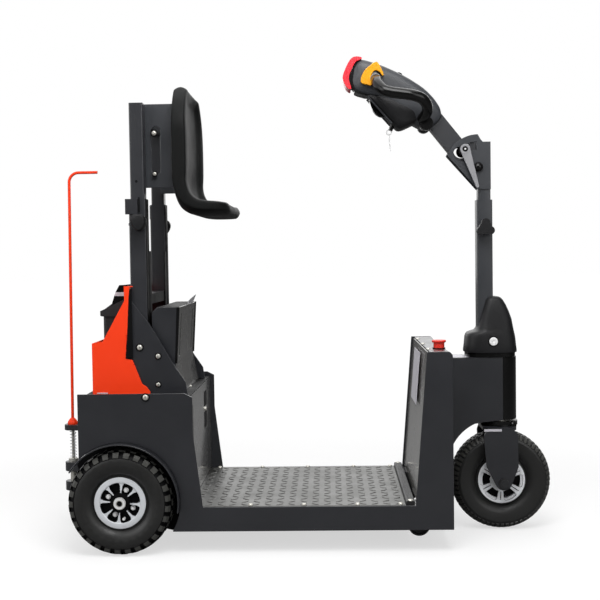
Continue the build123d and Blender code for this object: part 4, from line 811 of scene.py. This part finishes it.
seat = {
    "halfWidth": 0.1925, "shoulder": (0.075, 0.13), "noseCorner": 0.05, "edge": 0.012,
    "back": [(-0.3275, 1.1895), (-0.3275, 1.15), (-0.3275, 1.06), (-0.3275, 0.985), (-0.327, 0.94),
             (-0.3215, 0.903), (-0.309, 0.876), (-0.288, 0.8605), (-0.259, 0.854), (-0.22, 0.853),
             (-0.181, 0.8542)],
    "crest": [(-0.2905, 1.1895), (-0.289, 1.15), (-0.287, 1.06), (-0.287, 0.985), (-0.2885, 0.945),
              (-0.2835, 0.922), (-0.273, 0.906), (-0.258, 0.8965), (-0.24, 0.893), (-0.212, 0.8905),
              (-0.183, 0.8865)],
    "dish": 0.44, "wing": (0.6, 0.86), "fade": 0.035, "round": (0.16, 0.24), "pan": (0.24, 0.08),
    "belly": (0.34, 0.7),
}


def seatShape():
    # Seat: between the back line and the crest line, each station is a rounded oblong whose half width is a
    # power of the cosine and whose depth is a power of the sine. Its front sinks by a smooth step of the
    # distance from the sides, and the two ends close as quarter ellipses
    back, crest = smoothLine(seat["back"], 9), smoothLine(seat["crest"], 9)
    middle = (back + crest) / 2
    along = np.concatenate([[0], np.cumsum(np.linalg.norm(np.diff(middle, axis=0), axis=1))])
    total = along[-1]
    nearEnd = seat["edge"] * (1 - np.cos(np.linspace(0.12, 1.5, 8)))
    stops = np.unique(np.concatenate([np.linspace(0, total, 90), nearEnd, total - nearEnd]))[1:-1]
    back = np.stack([np.interp(stops, along, back[:, axis]) for axis in (0, 1)], -1)
    crest = np.stack([np.interp(stops, along, crest[:, axis]) for axis in (0, 1)], -1)
    left, right = stops, total - stops
    drop, reach = seat["shoulder"]
    width = seat["halfWidth"] - drop * np.clip(1 - left / reach, 0, 1) ** 2.6
    corner = seat["noseCorner"]
    width = width - corner + np.sqrt(corner ** 2 - np.clip(corner - right, 0, corner) ** 2)
    ends = [np.sqrt(1 - np.clip(1 - run / seat["edge"], 0, 1) ** 2) for run in (left, right)]
    cosine, sine = circle(72)
    acrossPower, depthPower = seat["round"]
    across = squared(cosine, acrossPower)
    depth = 0.5 + 0.5 * squared(sine, depthPower)
    low, high = seat["wing"]
    step = np.clip((high - np.abs(across)) / (high - low), 0, 1)
    step = step * step * (3 - 2 * step)
    front = np.clip((depth - 0.55) / 0.35, 0, 1)
    sink = seat["dish"] * np.clip(left / seat["fade"], 0, 1) * np.clip(right / seat["fade"], 0, 1)
    panStart, panRun = seat["pan"]
    onPan = np.clip((left - panStart) / panRun, 0, 1)
    rise, edge = seat["belly"]
    rise = rise * np.clip((np.abs(across) - edge) / (1 - edge), 0, 1) ** 2 * np.clip(1 - depth / 0.5, 0, 1)
    share = depth - sink[:, None] * (step * front) + onPan[:, None] * rise
    share = 0.5 + (share - 0.5) * (ends[0] * ends[1])[:, None]
    flat = back[:, None, :] + (crest - back)[:, None, :] * share[:, :, None]
    return netShape(np.stack([flat[..., 0], width[:, None] * across, flat[..., 1]], -1))


def makeSeat():
    piece = makePiece("seat_moulded", "seat_carriage", [(seatShape(), "seatFoam")],
                      stands=["seat_shell"], sharp=60.0)


# Mast: clamp knobs, screws, and painted shade in its splits and holes

mast = {
    "knob": [(-0.4327, 0.8573), (-0.4, 0.8595), (-0.3881, 0.8431), (-0.3954, 0.8215), (-0.4092, 0.8123),
             (-0.4199, 0.8192), (-0.4305, 0.8356)],
    "knobRings": [(0.55, 0.1866), (0.8, 0.1906), (1.0, 0.1956), (1.0, 0.2065), (0.94, 0.2125),
                  (0.8, 0.2155), (0.45, 0.2165)],
    "split": ((-0.4128, -0.1868, 0.864), (-0.4092, -0.185, 0.902)),
    "stud": [(0.0, 0.0), (0.0042, 0.0), (0.0042, 0.005), (0.003, 0.006), (0.0, 0.006)],
    "studPlace": (-0.436, -0.166, 0.834), "hole": (-0.4186, -0.1758, 0.943),
    "screwX": -0.3767, "screwY": -0.1385, "screws": [(1.0688, 0.0064), (0.964, 0.005)],
}


def makeMast():
    right = (0, -1, 0)
    outline = rounded(mast["knob"])
    centre = outline.mean(axis=0)
    rings = []
    for share, y in mast["knobRings"]:
        x, z = (centre + share * (outline - centre)).T
        rings.append(np.stack([x, np.full(len(x), -y), z], -1))
    stem = puck((centre[0], -mast["knobRings"][0][1], centre[1]), right, 0.009, 0.006, 20, base=-0.002)
    makePiece("mastKnobs_formed", bodyOf["mast_knobs"],
              [(netShape(np.array(rings)), "mouldedBlack"), (stem, "glossBlack")],
              stands=["mast_knobs"], pair=True)
    stud = turned(mast["stud"], mast["studPlace"], (-1, 0, 0), 14)
    # Each split is a thin dark block, painted shade
    makePiece("mastSplits", bodyOf["mast_frame"],
              [(brick(*mast["split"]), "recessDark"), (stud, "glossBlack")], pair=True)
    # Each hole is a dark disc, painted shade
    hole = puck(mast["hole"], right, 0.0034, 0.0006, 16)
    makePiece("mastHoleShade", bodyOf["mast_inner_tubes"], [(hole, "recessDark")], pair=True)
    screws = []
    for z, radius in mast["screws"]:
        x, y = mast["screwX"], mast["screwY"]
        screws += [(domeScrew((x, y - 0.001, z), right, radius, 0.004), "zincPlate"),
                   (puck((x, y, z), right, 1.5 * radius, 0.0012, 24), "recessDark")]
    makePiece("bracketScrews", bodyOf["seat_bracket"], screws, pair=True)


def makeMastFrame():
    # Front faces of the mast are painted shade black
    shape = nodeShape("mast_frame")
    coats = ["recessDark" if normal[0] > 0.6 else "charcoalCoat" for normal in faceFacts(shape)[1]]
    formNode("mast_frame", shape, coats, 0.0016)


# Control box: its leaning face takes a lighter, glossier copy of the charcoal, painted light; its slots and
# its top are painted shade

controlBox = {"faceHalf": 0.167, "faceLow": 0.4, "topLow": 0.6, "slotHalf": 0.16, "slotX": -0.36}


def makeControlBox():
    shape = nodeShape("control_box")
    coats = []
    for (x, y, z), (nx, _, nz) in zip(*faceFacts(shape)):
        if nz > 0.9 and z > controlBox["topLow"]:
            coats.append("recessDark")
        elif nx > 0.6 and abs(y) < controlBox["faceHalf"] and z > controlBox["faceLow"]:
            coats.append("panelShine")
        elif abs(y) < controlBox["slotHalf"] and x > controlBox["slotX"]:
            coats.append("recessDark")
        else:
            coats.append("charcoalCoat")
    formNode("control_box", shape, coats, 0.0022)


# Rear box: battery lid and blocks, tray edges, seams, and painted shade beside the tray, on the control box's
# slots, on the mast fronts and in the wheel wells

rearBox = {
    "batteryDetail": ("battery_plastic", [
        ([(-0.5317, 0.5963), (-0.532, 0.6092), (-0.5045, 0.6216), (-0.4654, 0.6411), (-0.4654, 0.5963)],
         -0.1186, -0.1178, "batteryPlastic"),
        ([(-0.5075, 0.6218), (-0.4993, 0.6476), (-0.4956, 0.6576), (-0.4856, 0.6762), (-0.4582, 0.6778),
          (-0.4582, 0.6218)], -0.0926, -0.0918, "glossBlack"),
        ([(-0.4993, 0.6476), (-0.4956, 0.6576), (-0.4684, 0.6573), (-0.4704, 0.6472)],
         -0.0932, -0.0924, "labelPale"),
    ]),
    "trayDetail": ("orange_steel", [
        ([(-0.454, 0.6757), (-0.4312, 0.6757), (-0.4312, 0.6735), (-0.4399, 0.6735), (-0.4426, 0.6451),
          (-0.448, 0.5507), (-0.454, 0.5507)], -0.1884, -0.187, "orangeCoat"),
        ([(-0.529, 0.4006), (-0.501, 0.4006), (-0.501, 0.403), (-0.529, 0.403)],
         -0.1886, -0.1876, "labelPale"),
        # A dark sheet between the tray's edge and the mast, painted shade
        ([(-0.4402, 0.668), (-0.4345, 0.668), (-0.4345, 0.49), (-0.4535, 0.49), (-0.448, 0.5507),
          (-0.4426, 0.6451)], -0.1888, -0.1866, "recessDark"),
    ]),
}
controlDetail = {
    "seamReach": (-0.1687, -0.1678), "tabReach": (-0.3165, -0.3147),
    "seam": [(-0.3228, 0.6188), (-0.315, 0.6198), (-0.3235, 0.4745), (-0.3295, 0.4745)],
    "tab": [(-0.0087, 0.6195), (0.0927, 0.6195), (0.167, 0.6396), (0.15, 0.6396), (0.0138, 0.629)],
}
bodyShades = {
    "slots": [((-0.2884, 0.09, 0.3235), (-0.2874, 0.143, 0.3665)),
              ((-0.2884, 0.09, 0.262), (-0.2874, 0.143, 0.308))],
    "fronts": [((-0.3972, -0.152, 0.56), (-0.395, -0.112, 0.765)),
               ((-0.3972, -0.152, 0.765), (-0.395, -0.1415, 0.885))],
    "wellRadius": 0.1495, "wellTurns": (-5, 146), "wellReach": (-0.1888, -0.1872),
    "wellLow": [(-0.56, 0.13), (-0.461, 0.06), (-0.36, 0.05), (-0.3293, 0.0435), (-0.312, 0.0435)],
}


def makeRearBox():
    for name, (slotName, parts) in rearBox.items():
        shapes = [(prism(outline, low, high), coat) for outline, low, high, coat in parts]
        makePiece(name, "chassis", shapes, pair=True)
    seam = prism(controlDetail["seam"], *controlDetail["seamReach"])
    tab = prism(controlDetail["tab"], *controlDetail["tabReach"], "x")
    makePiece("controlDetail", "chassis",
              [(bothSides(seam), "recessDark"), (tab, "leverGrey")])
    # Dark sheets over the control box's slots, the mast fronts and the wheel wells: painted shade
    start, end = bodyShades["wellTurns"]
    turns = np.radians(np.linspace(start, end, 40))
    arch = bodyShades["wellRadius"] * np.stack([np.cos(turns), np.sin(turns)], -1)
    arch = np.vstack([arch + (wheels["rearX"], wheels["height"]), bodyShades["wellLow"]])
    shades = [brick(*slot) for slot in bodyShades["slots"]]
    shades += [bothSides(brick(*front)) for front in bodyShades["fronts"]]
    shades.append(bothSides(prism(arch, *bodyShades["wellReach"])))
    makePiece("bodyShades", "chassis", [(shade, "recessDark") for shade in shades])


# Boot over the foot of the steering post, and the bolt in its side

boot = {
    "levels": [
        (0.481, 0.434, 0.5735, 0.055), (0.485, 0.4335, 0.574, 0.0555), (0.5, 0.4355, 0.5722, 0.0545),
        (0.522, 0.4375, 0.57, 0.053), (0.529, 0.44, 0.5685, 0.0522), (0.5335, 0.444, 0.5675, 0.0515),
        (0.5365, 0.453, 0.5668, 0.0508), (0.539, 0.462, 0.5662, 0.0502), (0.545, 0.4675, 0.565, 0.0492),
        (0.57, 0.4755, 0.5605, 0.046), (0.59, 0.4815, 0.5535, 0.043), (0.608, 0.487, 0.5455, 0.0395),
        (0.62, 0.4905, 0.5385, 0.036), (0.626, 0.493, 0.5335, 0.033), (0.6295, 0.4965, 0.5275, 0.028),
        (0.6308, 0.504, 0.519, 0.016)],
    "foot": [(0.4694, 0.4375, 0.5695, 0.0505), (0.4815, 0.4375, 0.5695, 0.0505)],
    "power": 0.55, "bolt": (0.5062, -0.0538, 0.5114), "boltRadius": 0.0112,
    "head": [(0.0, 0.0), (1.0, 0.0), (1.0, 0.0022), (0.9, 0.0034), (0.35, 0.0036), (0.28, 0.002),
             (0.0, 0.002)],
}


def bootShape(levels):
    # Boot: at each height an oblong between its rear and front edge, rounded by a power of cosine and sine
    cosine, sine = (squared(wave, boot["power"]) for wave in circle(56))
    return netShape(np.array([np.stack([(rear + front) / 2 + (front - rear) / 2 * cosine, half * sine,
                                        np.full(56, z)], -1) for z, rear, front, half in levels]))


def makeBoot():
    body, right, radius = bodyOf["boot"], (0, -1, 0), boot["boltRadius"]
    makePiece("boot_formed", body, [(bootShape(boot["levels"]), "mouldedBlack")],
              stands=["boot"], sharp=40.0)
    makePiece("bootFoot", body, [(bootShape(boot["foot"]), "glossBlack")])
    head = turned([(radius * share, height) for share, height in boot["head"]], boot["bolt"], right, 32)
    ring = washer(boot["bolt"], right, 0.96 * radius, 1.28 * radius, 0.0016)
    makePiece("bootBolts", body, [(head, "brightZinc"), (ring, "recessDark")], pair=True)


# Emergency stop: a wide thin cap on a thick stem

stopButton = {
    "place": (0.351, -0.15, 0.503), "stem": (0.0165, 0.0025),
    "cap": [(0.0, 0.0025), (0.014, 0.0025), (0.0142, 0.015), (0.0172, 0.0165), (0.0183, 0.018),
            (0.0183, 0.0208), (0.0172, 0.0222), (0.014, 0.0226), (0.0, 0.0222)],
}


def makeStopButton():
    stem = puck(stopButton["place"], (0, 0, 1), *stopButton["stem"], 40)
    cap = turned(stopButton["cap"], stopButton["place"], (0, 0, 1), 48)
    makePiece("stopButton_formed", bodyOf["stop_button"],
              [(cap, "stopRed"), (stem, "recessDark")], stands=["stop_button"], sharp=50.0)


# Tiller head: shell, pouch, red tip button, yellow claws, loop handles and key

head = {
    "top": [(0.147, 1.261), (0.164, 1.269), (0.1945, 1.2611), (0.2225, 1.2505), (0.2527, 1.2368),
            (0.275, 1.2253), (0.303, 1.2087), (0.333, 1.187), (0.357, 1.1623), (0.373, 1.138),
            (0.3775, 1.119)],
    "bottom": [(0.1365, 1.195), (0.148, 1.183), (0.166, 1.176), (0.183, 1.1705), (0.2013, 1.164),
               (0.225, 1.15), (0.25, 1.13), (0.28, 1.108), (0.31, 1.088), (0.337, 1.079), (0.366, 1.099)],
    "half": [0.031, 0.037, 0.041, 0.043, 0.043, 0.043, 0.043, 0.042, 0.038, 0.031, 0.024],
    "pouchTop": [(0.184, 1.175), (0.208, 1.174), (0.235, 1.17), (0.27, 1.16), (0.305, 1.145), (0.32, 1.13)],
    "pouchBottom": [(0.18, 1.17), (0.198, 1.148), (0.22, 1.123), (0.244, 1.096), (0.264, 1.08),
                    (0.306, 1.096)],
    "pouchHalf": [0.034, 0.0425, 0.044, 0.044, 0.043, 0.038],
    "across": {"chin": 0.03, "finger": 0.011, "button": 0.034, "gap": 0.0315},
    "chin": [(0.143, 1.188), (0.1446, 1.1805), (0.183, 1.169), (0.185, 1.177)],
    "finger": [(0.183, 1.167), (0.1885, 1.146), (0.1975, 1.1275), (0.2125, 1.117), (0.224, 1.117),
               (0.228, 1.124), (0.2, 1.156)],
    "button": [(0.166, 1.273), (0.152, 1.276), (0.139, 1.2735), (0.1275, 1.2578), (0.115, 1.2297),
               (0.1127, 1.2176), (0.1206, 1.1972), (0.1327, 1.187), (0.1375, 1.191), (0.13, 1.212),
               (0.131, 1.227), (0.143, 1.253), (0.15, 1.263), (0.165, 1.268)],
    "gap": [(0.164, 1.265), (0.151, 1.26), (0.144, 1.251), (0.1305, 1.223), (0.131, 1.21), (0.139, 1.193),
            (0.15, 1.19), (0.17, 1.24)],
    "claw": [(0.202, 1.2587), (0.21, 1.2505), (0.2238, 1.221), (0.219, 1.218), (0.2118, 1.229),
             (0.2018, 1.235), (0.1915, 1.229), (0.1873, 1.2108), (0.1911, 1.1926), (0.176, 1.1965),
             (0.1609, 1.2012), (0.161, 1.2133), (0.168, 1.229), (0.1775, 1.2411)],
    "loop": [(0.2012, -0.056, 1.209), (0.2025, -0.074, 1.203), (0.2045, -0.094, 1.191),
             (0.218, -0.112, 1.1735), (0.2373, -0.1155, 1.1665), (0.2668, -0.1155, 1.162),
             (0.2963, -0.114, 1.1572), (0.3175, -0.108, 1.1495), (0.33, -0.096, 1.137),
             (0.334, -0.078, 1.1235), (0.33, -0.058, 1.113), (0.324, -0.036, 1.106)],
    "clawReach": (0.0465, 0.0572), "loopRadius": 0.0145, "trim": (0.033, 0.0026),
    "knobPlace": (0.2662, 0.0, 1.229), "knobWay": (0.45, 0, 0.893), "dotPlace": (0.1862, -0.0115, 1.161),
    "hubPlace": (0.199, -0.042, 1.219), "rootPlace": (0.334, -0.02, 1.094),
    "collarPlace": (0.2002, -0.0552, 1.2125), "collarWay": (0.05, -1, -0.3),
    "knob": [(0.0, -0.002), (0.0085, -0.002), (0.0085, 0.003), (0.006, 0.0062), (0.0, 0.0068)],
    "hub": [(0.0, 0.0), (0.011, 0.0), (0.011, 0.012), (0.0085, 0.013), (0.0, 0.013)],
    "root": [(0.0, 0.0), (0.0175, 0.0), (0.0185, 0.002), (0.0185, 0.024), (0.017, 0.027), (0.0, 0.0275)],
}
key = {
    "barrel": [(0.0, 0.0), (0.0062, 0.0), (0.0062, 0.016), (0.0054, 0.0175), (0.0054, 0.0225),
               (0.0, 0.0225)],
    "barrelPlace": (0.25, 0.0, 1.101), "barrelWay": (-0.4, 0, -0.917),
    "ring": (0.2372, 1.0767), "ringRadius": 0.0066, "wire": 0.0017,
    "blade": [(0.2358, 1.0705), (0.2392, 1.0705), (0.2392, 1.063), (0.242, 1.0265), (0.2408, 1.025),
              (0.2392, 1.027), (0.236, 1.063)],
}


def pairShape(top, bottom, half, upright=0.5):
    # Shell between a top and a bottom line: each station is a rounded oblong, its half width a power of the
    # cosine and its height a power of the sine. The two end stations are drawn in
    tops, bottoms = smoothLine(top, 5), smoothLine(bottom, 5)
    halves = smoothLine([(value, 0.0) for value in half], 5)[:, 0]
    cosine, sine = circle(48)
    middle, rise = (tops + bottoms) / 2, (tops - bottoms) / 2
    flat = middle[:, None, :] + rise[:, None, :] * squared(sine, upright)[:, None]
    cloud = np.stack([flat[..., 0], halves[:, None] * squared(cosine, 0.42), flat[..., 1]], -1)
    ends = []
    for end, inner in ((cloud[0], cloud[1]), (cloud[-1], cloud[-2])):
        centre = end.mean(axis=0)
        ends.append([centre + (centre - inner.mean(axis=0)) * 0.5 + (end - centre) * 0.82])
    return netShape(np.concatenate([ends[0], cloud, ends[1]]))


def headSlab(name, times=2):
    # An outline of the head, rounded and as thick to each side
    half = head["across"][name]
    return prism(rounded(head[name], times), -half, half)


def makeHead():
    body, right = bodyOf["tiller_head"], (0, -1, 0)
    shell = pairShape(head["top"], head["bottom"], head["half"])
    makePiece("head_formed", body, [(shell, "headGrey")], stands=["tiller_head"],
              sharp=45.0)
    pouch = pairShape(head["pouchTop"], head["pouchBottom"], head["pouchHalf"], upright=0.6)
    reach, radius = head["trim"]
    trim = swept([(x, -reach, z) for x, z in smoothLine(head["pouchBottom"][:4], 4)], radius, 10)
    knob = turned(head["knob"], head["knobPlace"], head["knobWay"], 20)
    makePiece("headPouch", body,
              [(pouch, "mouldedBlack"), (headSlab("chin", 1), "glossBlack"), (bothSides(trim), "headGrey"),
               (knob, "glossBlack")], sharp=40.0)
    makePiece("fingerLever", body, [(headSlab("finger"), "glossBlack")], soften=0.003,
              steps=3)
    dot = domeScrew(head["dotPlace"], right, 0.003, 0.0018, 12)
    makePiece("fingerDots", body, [(dot, "brightZinc")], pair=True)
    makePiece("redButton_formed", bodyOf["belly_button"],
              [(headSlab("button"), "redPlastic")], stands=["belly_button"], soften=0.0042, steps=4)
    # A dark slab between the red button and the head: painted shade in the gap
    makePiece("buttonGapShade", body, [(headSlab("gap", 1), "recessDark")])
    inner, outer = head["clawReach"]
    claw = prism(rounded(head["claw"], 1), -outer, -inner)
    makePiece("claws_formed", bodyOf["throttle"], [(claw, "yellowPlastic")],
              stands=["throttle"], soften=0.0042, steps=4, pair=True)
    hub = turned(head["hub"], head["hubPlace"], right, 28)
    collar = washer(head["collarPlace"], head["collarWay"], 0.009, 0.0138, 0.0034)
    makePiece("hubs", bodyOf["throttle"],
              [(hub, "glossBlack"), (collar, "springSteel")], pair=True)
    root = turned(head["root"], head["rootPlace"], right, 32)
    makePiece("loopRoots", body, [(root, "glossBlack")], pair=True)
    loop = swept(smoothLine(head["loop"], 8), head["loopRadius"], 28)
    makePiece("loops_formed", bodyOf["loop_handles"], [(loop, "glossBlack")],
              stands=["loop_handles"], sharp=60.0, pair=True)


def makeKey():
    barrel = turned(key["barrel"], key["barrelPlace"], key["barrelWay"], 24)
    cosine, sine = circle(28)
    x, z = key["ring"]
    line = np.stack([x + key["ringRadius"] * sine, np.zeros(28), z + key["ringRadius"] * cosine], -1)
    ring = swept(line, key["wire"], 10, closed=True)
    blade = prism(key["blade"], -0.0008, 0.0008)
    makePiece("key_formed", bodyOf["key_switch"],
              [(barrel, "glossBlack"), (ring, "brightZinc"), (blade, "brightZinc")], stands=["key_switch"])


# Tilt joint: clamp lever, washers and pivot bolt

tilt = {
    "pivot": (0.4735, 0.9775), "root": (0.4376, 1.0251), "tip": (0.47, 0.9255), "radii": (0.0135, 0.0044),
    "lever": (0.029, 0.0345), "plateFace": 0.0264, "disc": (0.4362, 1.0225), "lugHalf": 0.015,
    "lug": [(0.444, 1.012), (0.468, 1.018), (0.468, 1.045), (0.45, 1.045)],
    "nub": [(0.0, 0.0), (0.0024, 0.0), (0.002, 0.0009), (0.0, 0.001)],
    "dome": [(0.0, 0.0), (0.0104, 0.0), (0.0102, 0.002), (0.0086, 0.0048), (0.005, 0.0068), (0.0, 0.0074)],
}


def makeTiltJoint():
    body, right, left = bodyOf["clamp_lever"], (0, -1, 0), (0, 1, 0)
    (rootX, rootZ), (tipX, tipZ) = tilt["root"], tilt["tip"]
    heading = math.atan2(tipZ - rootZ, tipX - rootX)
    outline = []
    for end, radius, start in zip((tilt["root"], tilt["tip"]), tilt["radii"], (math.pi / 2, -math.pi / 2)):
        angles = heading + start + np.linspace(0, math.pi, 11)
        outline.append(np.array(end) + radius * np.stack([np.cos(angles), np.sin(angles)], -1))
    inner, outer = tilt["lever"]
    lever = prism(np.vstack(outline), -outer, -inner)
    makePiece("lever_formed", body, [(lever, "leverGrey")], stands=["clamp_lever"],
              soften=0.0014)
    face = (rootX, -outer, rootZ)
    disc = puck((tilt["disc"][0], -tilt["plateFace"], tilt["disc"][1]), right, 0.0155, 0.0022, 40)
    makePiece("leverFittings", body, [
        (washer(face, right, 0.0076, 0.013, 0.0012), "leverGrey"),
        (puck(face, right, 0.0076, 0.0004, 24), "recessDark"),
        (turned(tilt["nub"], (rootX, -outer - 0.0003, rootZ), right, 12), "brightZinc"),
        (puck((rootX, -inner, rootZ), left, 0.005, 0.057, 20), "springSteel"),
        (puck((rootX, 0.0268, rootZ), left, 0.01, 0.0022, 6), "glossBlack"),
        (bothSides(disc), "recessDark")])
    lug = prism(rounded(tilt["lug"], 1), -tilt["lugHalf"], tilt["lugHalf"])
    makePiece("tiltLug", body, [(lug, "charcoalCoat")])
    x, z = tilt["pivot"]
    dome = turned(tilt["dome"], (x, -tilt["plateFace"], z), right, 36)
    rim = washer((x, -0.0262, z), right, 0.009, 0.0124, 0.0008)
    makePiece("pivotBolts", bodyOf["post_inner"],
              [(dome, "glossBlack"), (rim, "recessDark")], pair=True)


# Neck, fork and rollers

neckNose = 0.5312
forkDetail = {
    "ring": (0.527, 0.0, 0.2824), "bolt": (0.559, -0.035, 0.2838),
    "boltHead": [(0.0, 0.0), (0.0085, 0.0), (0.0085, 0.01), (0.006, 0.012), (0.0, 0.0122)],
    "strip": ((0.4776, -0.0706, 0.2726), (0.524, -0.0698, 0.279)),
    "axleEnd": (0.0701, 0.84),
    "hub": [(0.0, 0.0), (0.0105, 0.0), (0.0105, 0.0012), (0.007, 0.0022), (0.0, 0.0024)],
    "hubPlace": (0.292, 0.2021, 0.057),
}


def makeNeck():
    # Satin sides, and the rounded nose painted shade black
    shape = nodeShape("neck_shell", cutX=neckNose)
    coats = ["glossBlack" if x > neckNose else "charcoalCoat" for x in faceFacts(shape)[0][:, 0]]
    makePiece("neck_formed", bodyOf["neck_shell"], [(shape, coats)],
              stands=["neck_shell"], soften=0.0016)


def makeForkDetail():
    ring = washer(forkDetail["ring"], (0, 0, 1), 0.012, 0.05, 0.0118, 48)
    bolt = turned(forkDetail["boltHead"], forkDetail["bolt"], (0, -1, 0), 20)
    # The pale strip along each fork leg's top edge is a painted highlight
    strip = brick(*forkDetail["strip"])
    makePiece("forkDetail", "steering",
              [(ring, "glossBlack"), (bothSides(bolt), "glossBlack"), (bothSides(strip), "labelPale")])
    # The axle's ends, outside the fork, are drawn in round its middle line
    points, faces = nodeShape("front_axle")
    y, size = forkDetail["axleEnd"]
    centre = np.array([wheels["frontX"], 0.0, wheels["height"]])
    ends = np.where(np.abs(points[:, 1:2]) > y, (size, 1.0, size), 1.0)
    formNode("front_axle", (centre + ends * (points - centre), faces), "castDark")
    x, y, z = forkDetail["hubPlace"]
    for side, sign in (("right", -1), ("left", 1)):
        hub = turned(forkDetail["hub"], (x, sign * y, z), (0, sign, 0), 28)
        makePiece("rollerHub_" + side, "roller_wheel_" + side, [(hub, "zincPlate")])


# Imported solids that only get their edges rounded, and another finish where one is named

softEdges = {
    "side_plate_right": (0.0012,), "side_plate_left": (0.0012,), "arch_lips": (0.0012,),
    "column_front_panel": (0.0009,), "column_top": (0.0009,), "housing_rear_panel": (0.0009,),
    "mast_gussets": (0.0012,), "mast_inner_tubes": (0.0012,), "fork": (0.0018,), "tiller_arm": (0.0016,),
    "battery_tray": (0.001,), "hitch_bracket": (0.0018,), "roller_brackets": (0.001,),
    "deck_plate": (0.0008,),
    # The column's rear panel and the housing's front carry painted light and sheen, the housing's shelf
    # painted shade, and the posts and seat bracket painted light
    "column_rear_panel": (0.0009, "columnShine"), "housing_front_panel": (0.0009, "panelShine"),
    "housing_shelf": (0.0009, "recessDark"), "seat_bracket": (0.0012, "postGrey"),
    "steering_post": (0.0016, "postGrey"), "post_inner": (0.0012, "postGrey"),
}

placeCamera()
makeStage()
makeSurround()
makeLamps()
print("camera and stage placed")

grainGroup = makeGrainGroup()
tintGroup = makeTintGroup()
materials = {name: makeMaterial(name, finish) for name, finish in finishes.items()}
finishNodes()
print("finishes made:", len(materials))

makeWheels()
print("wheels made")
makeDeck()
makeBolts()
makeLabels()
print("body detail made")
makeSeat()
makeMast()
makeMastFrame()
makeControlBox()
makeRearBox()
print("seat and mast detail made")
makeBoot()
makeStopButton()
makeHead()
makeKey()
makeTiltJoint()
makeNeck()
makeForkDetail()
print("steering detail made")
for node, form in softEdges.items():
    softenNode(node, *form)
print("edges softened:", len(softEdges))

bpy.context.scene.view_settings.view_transform = "Standard"
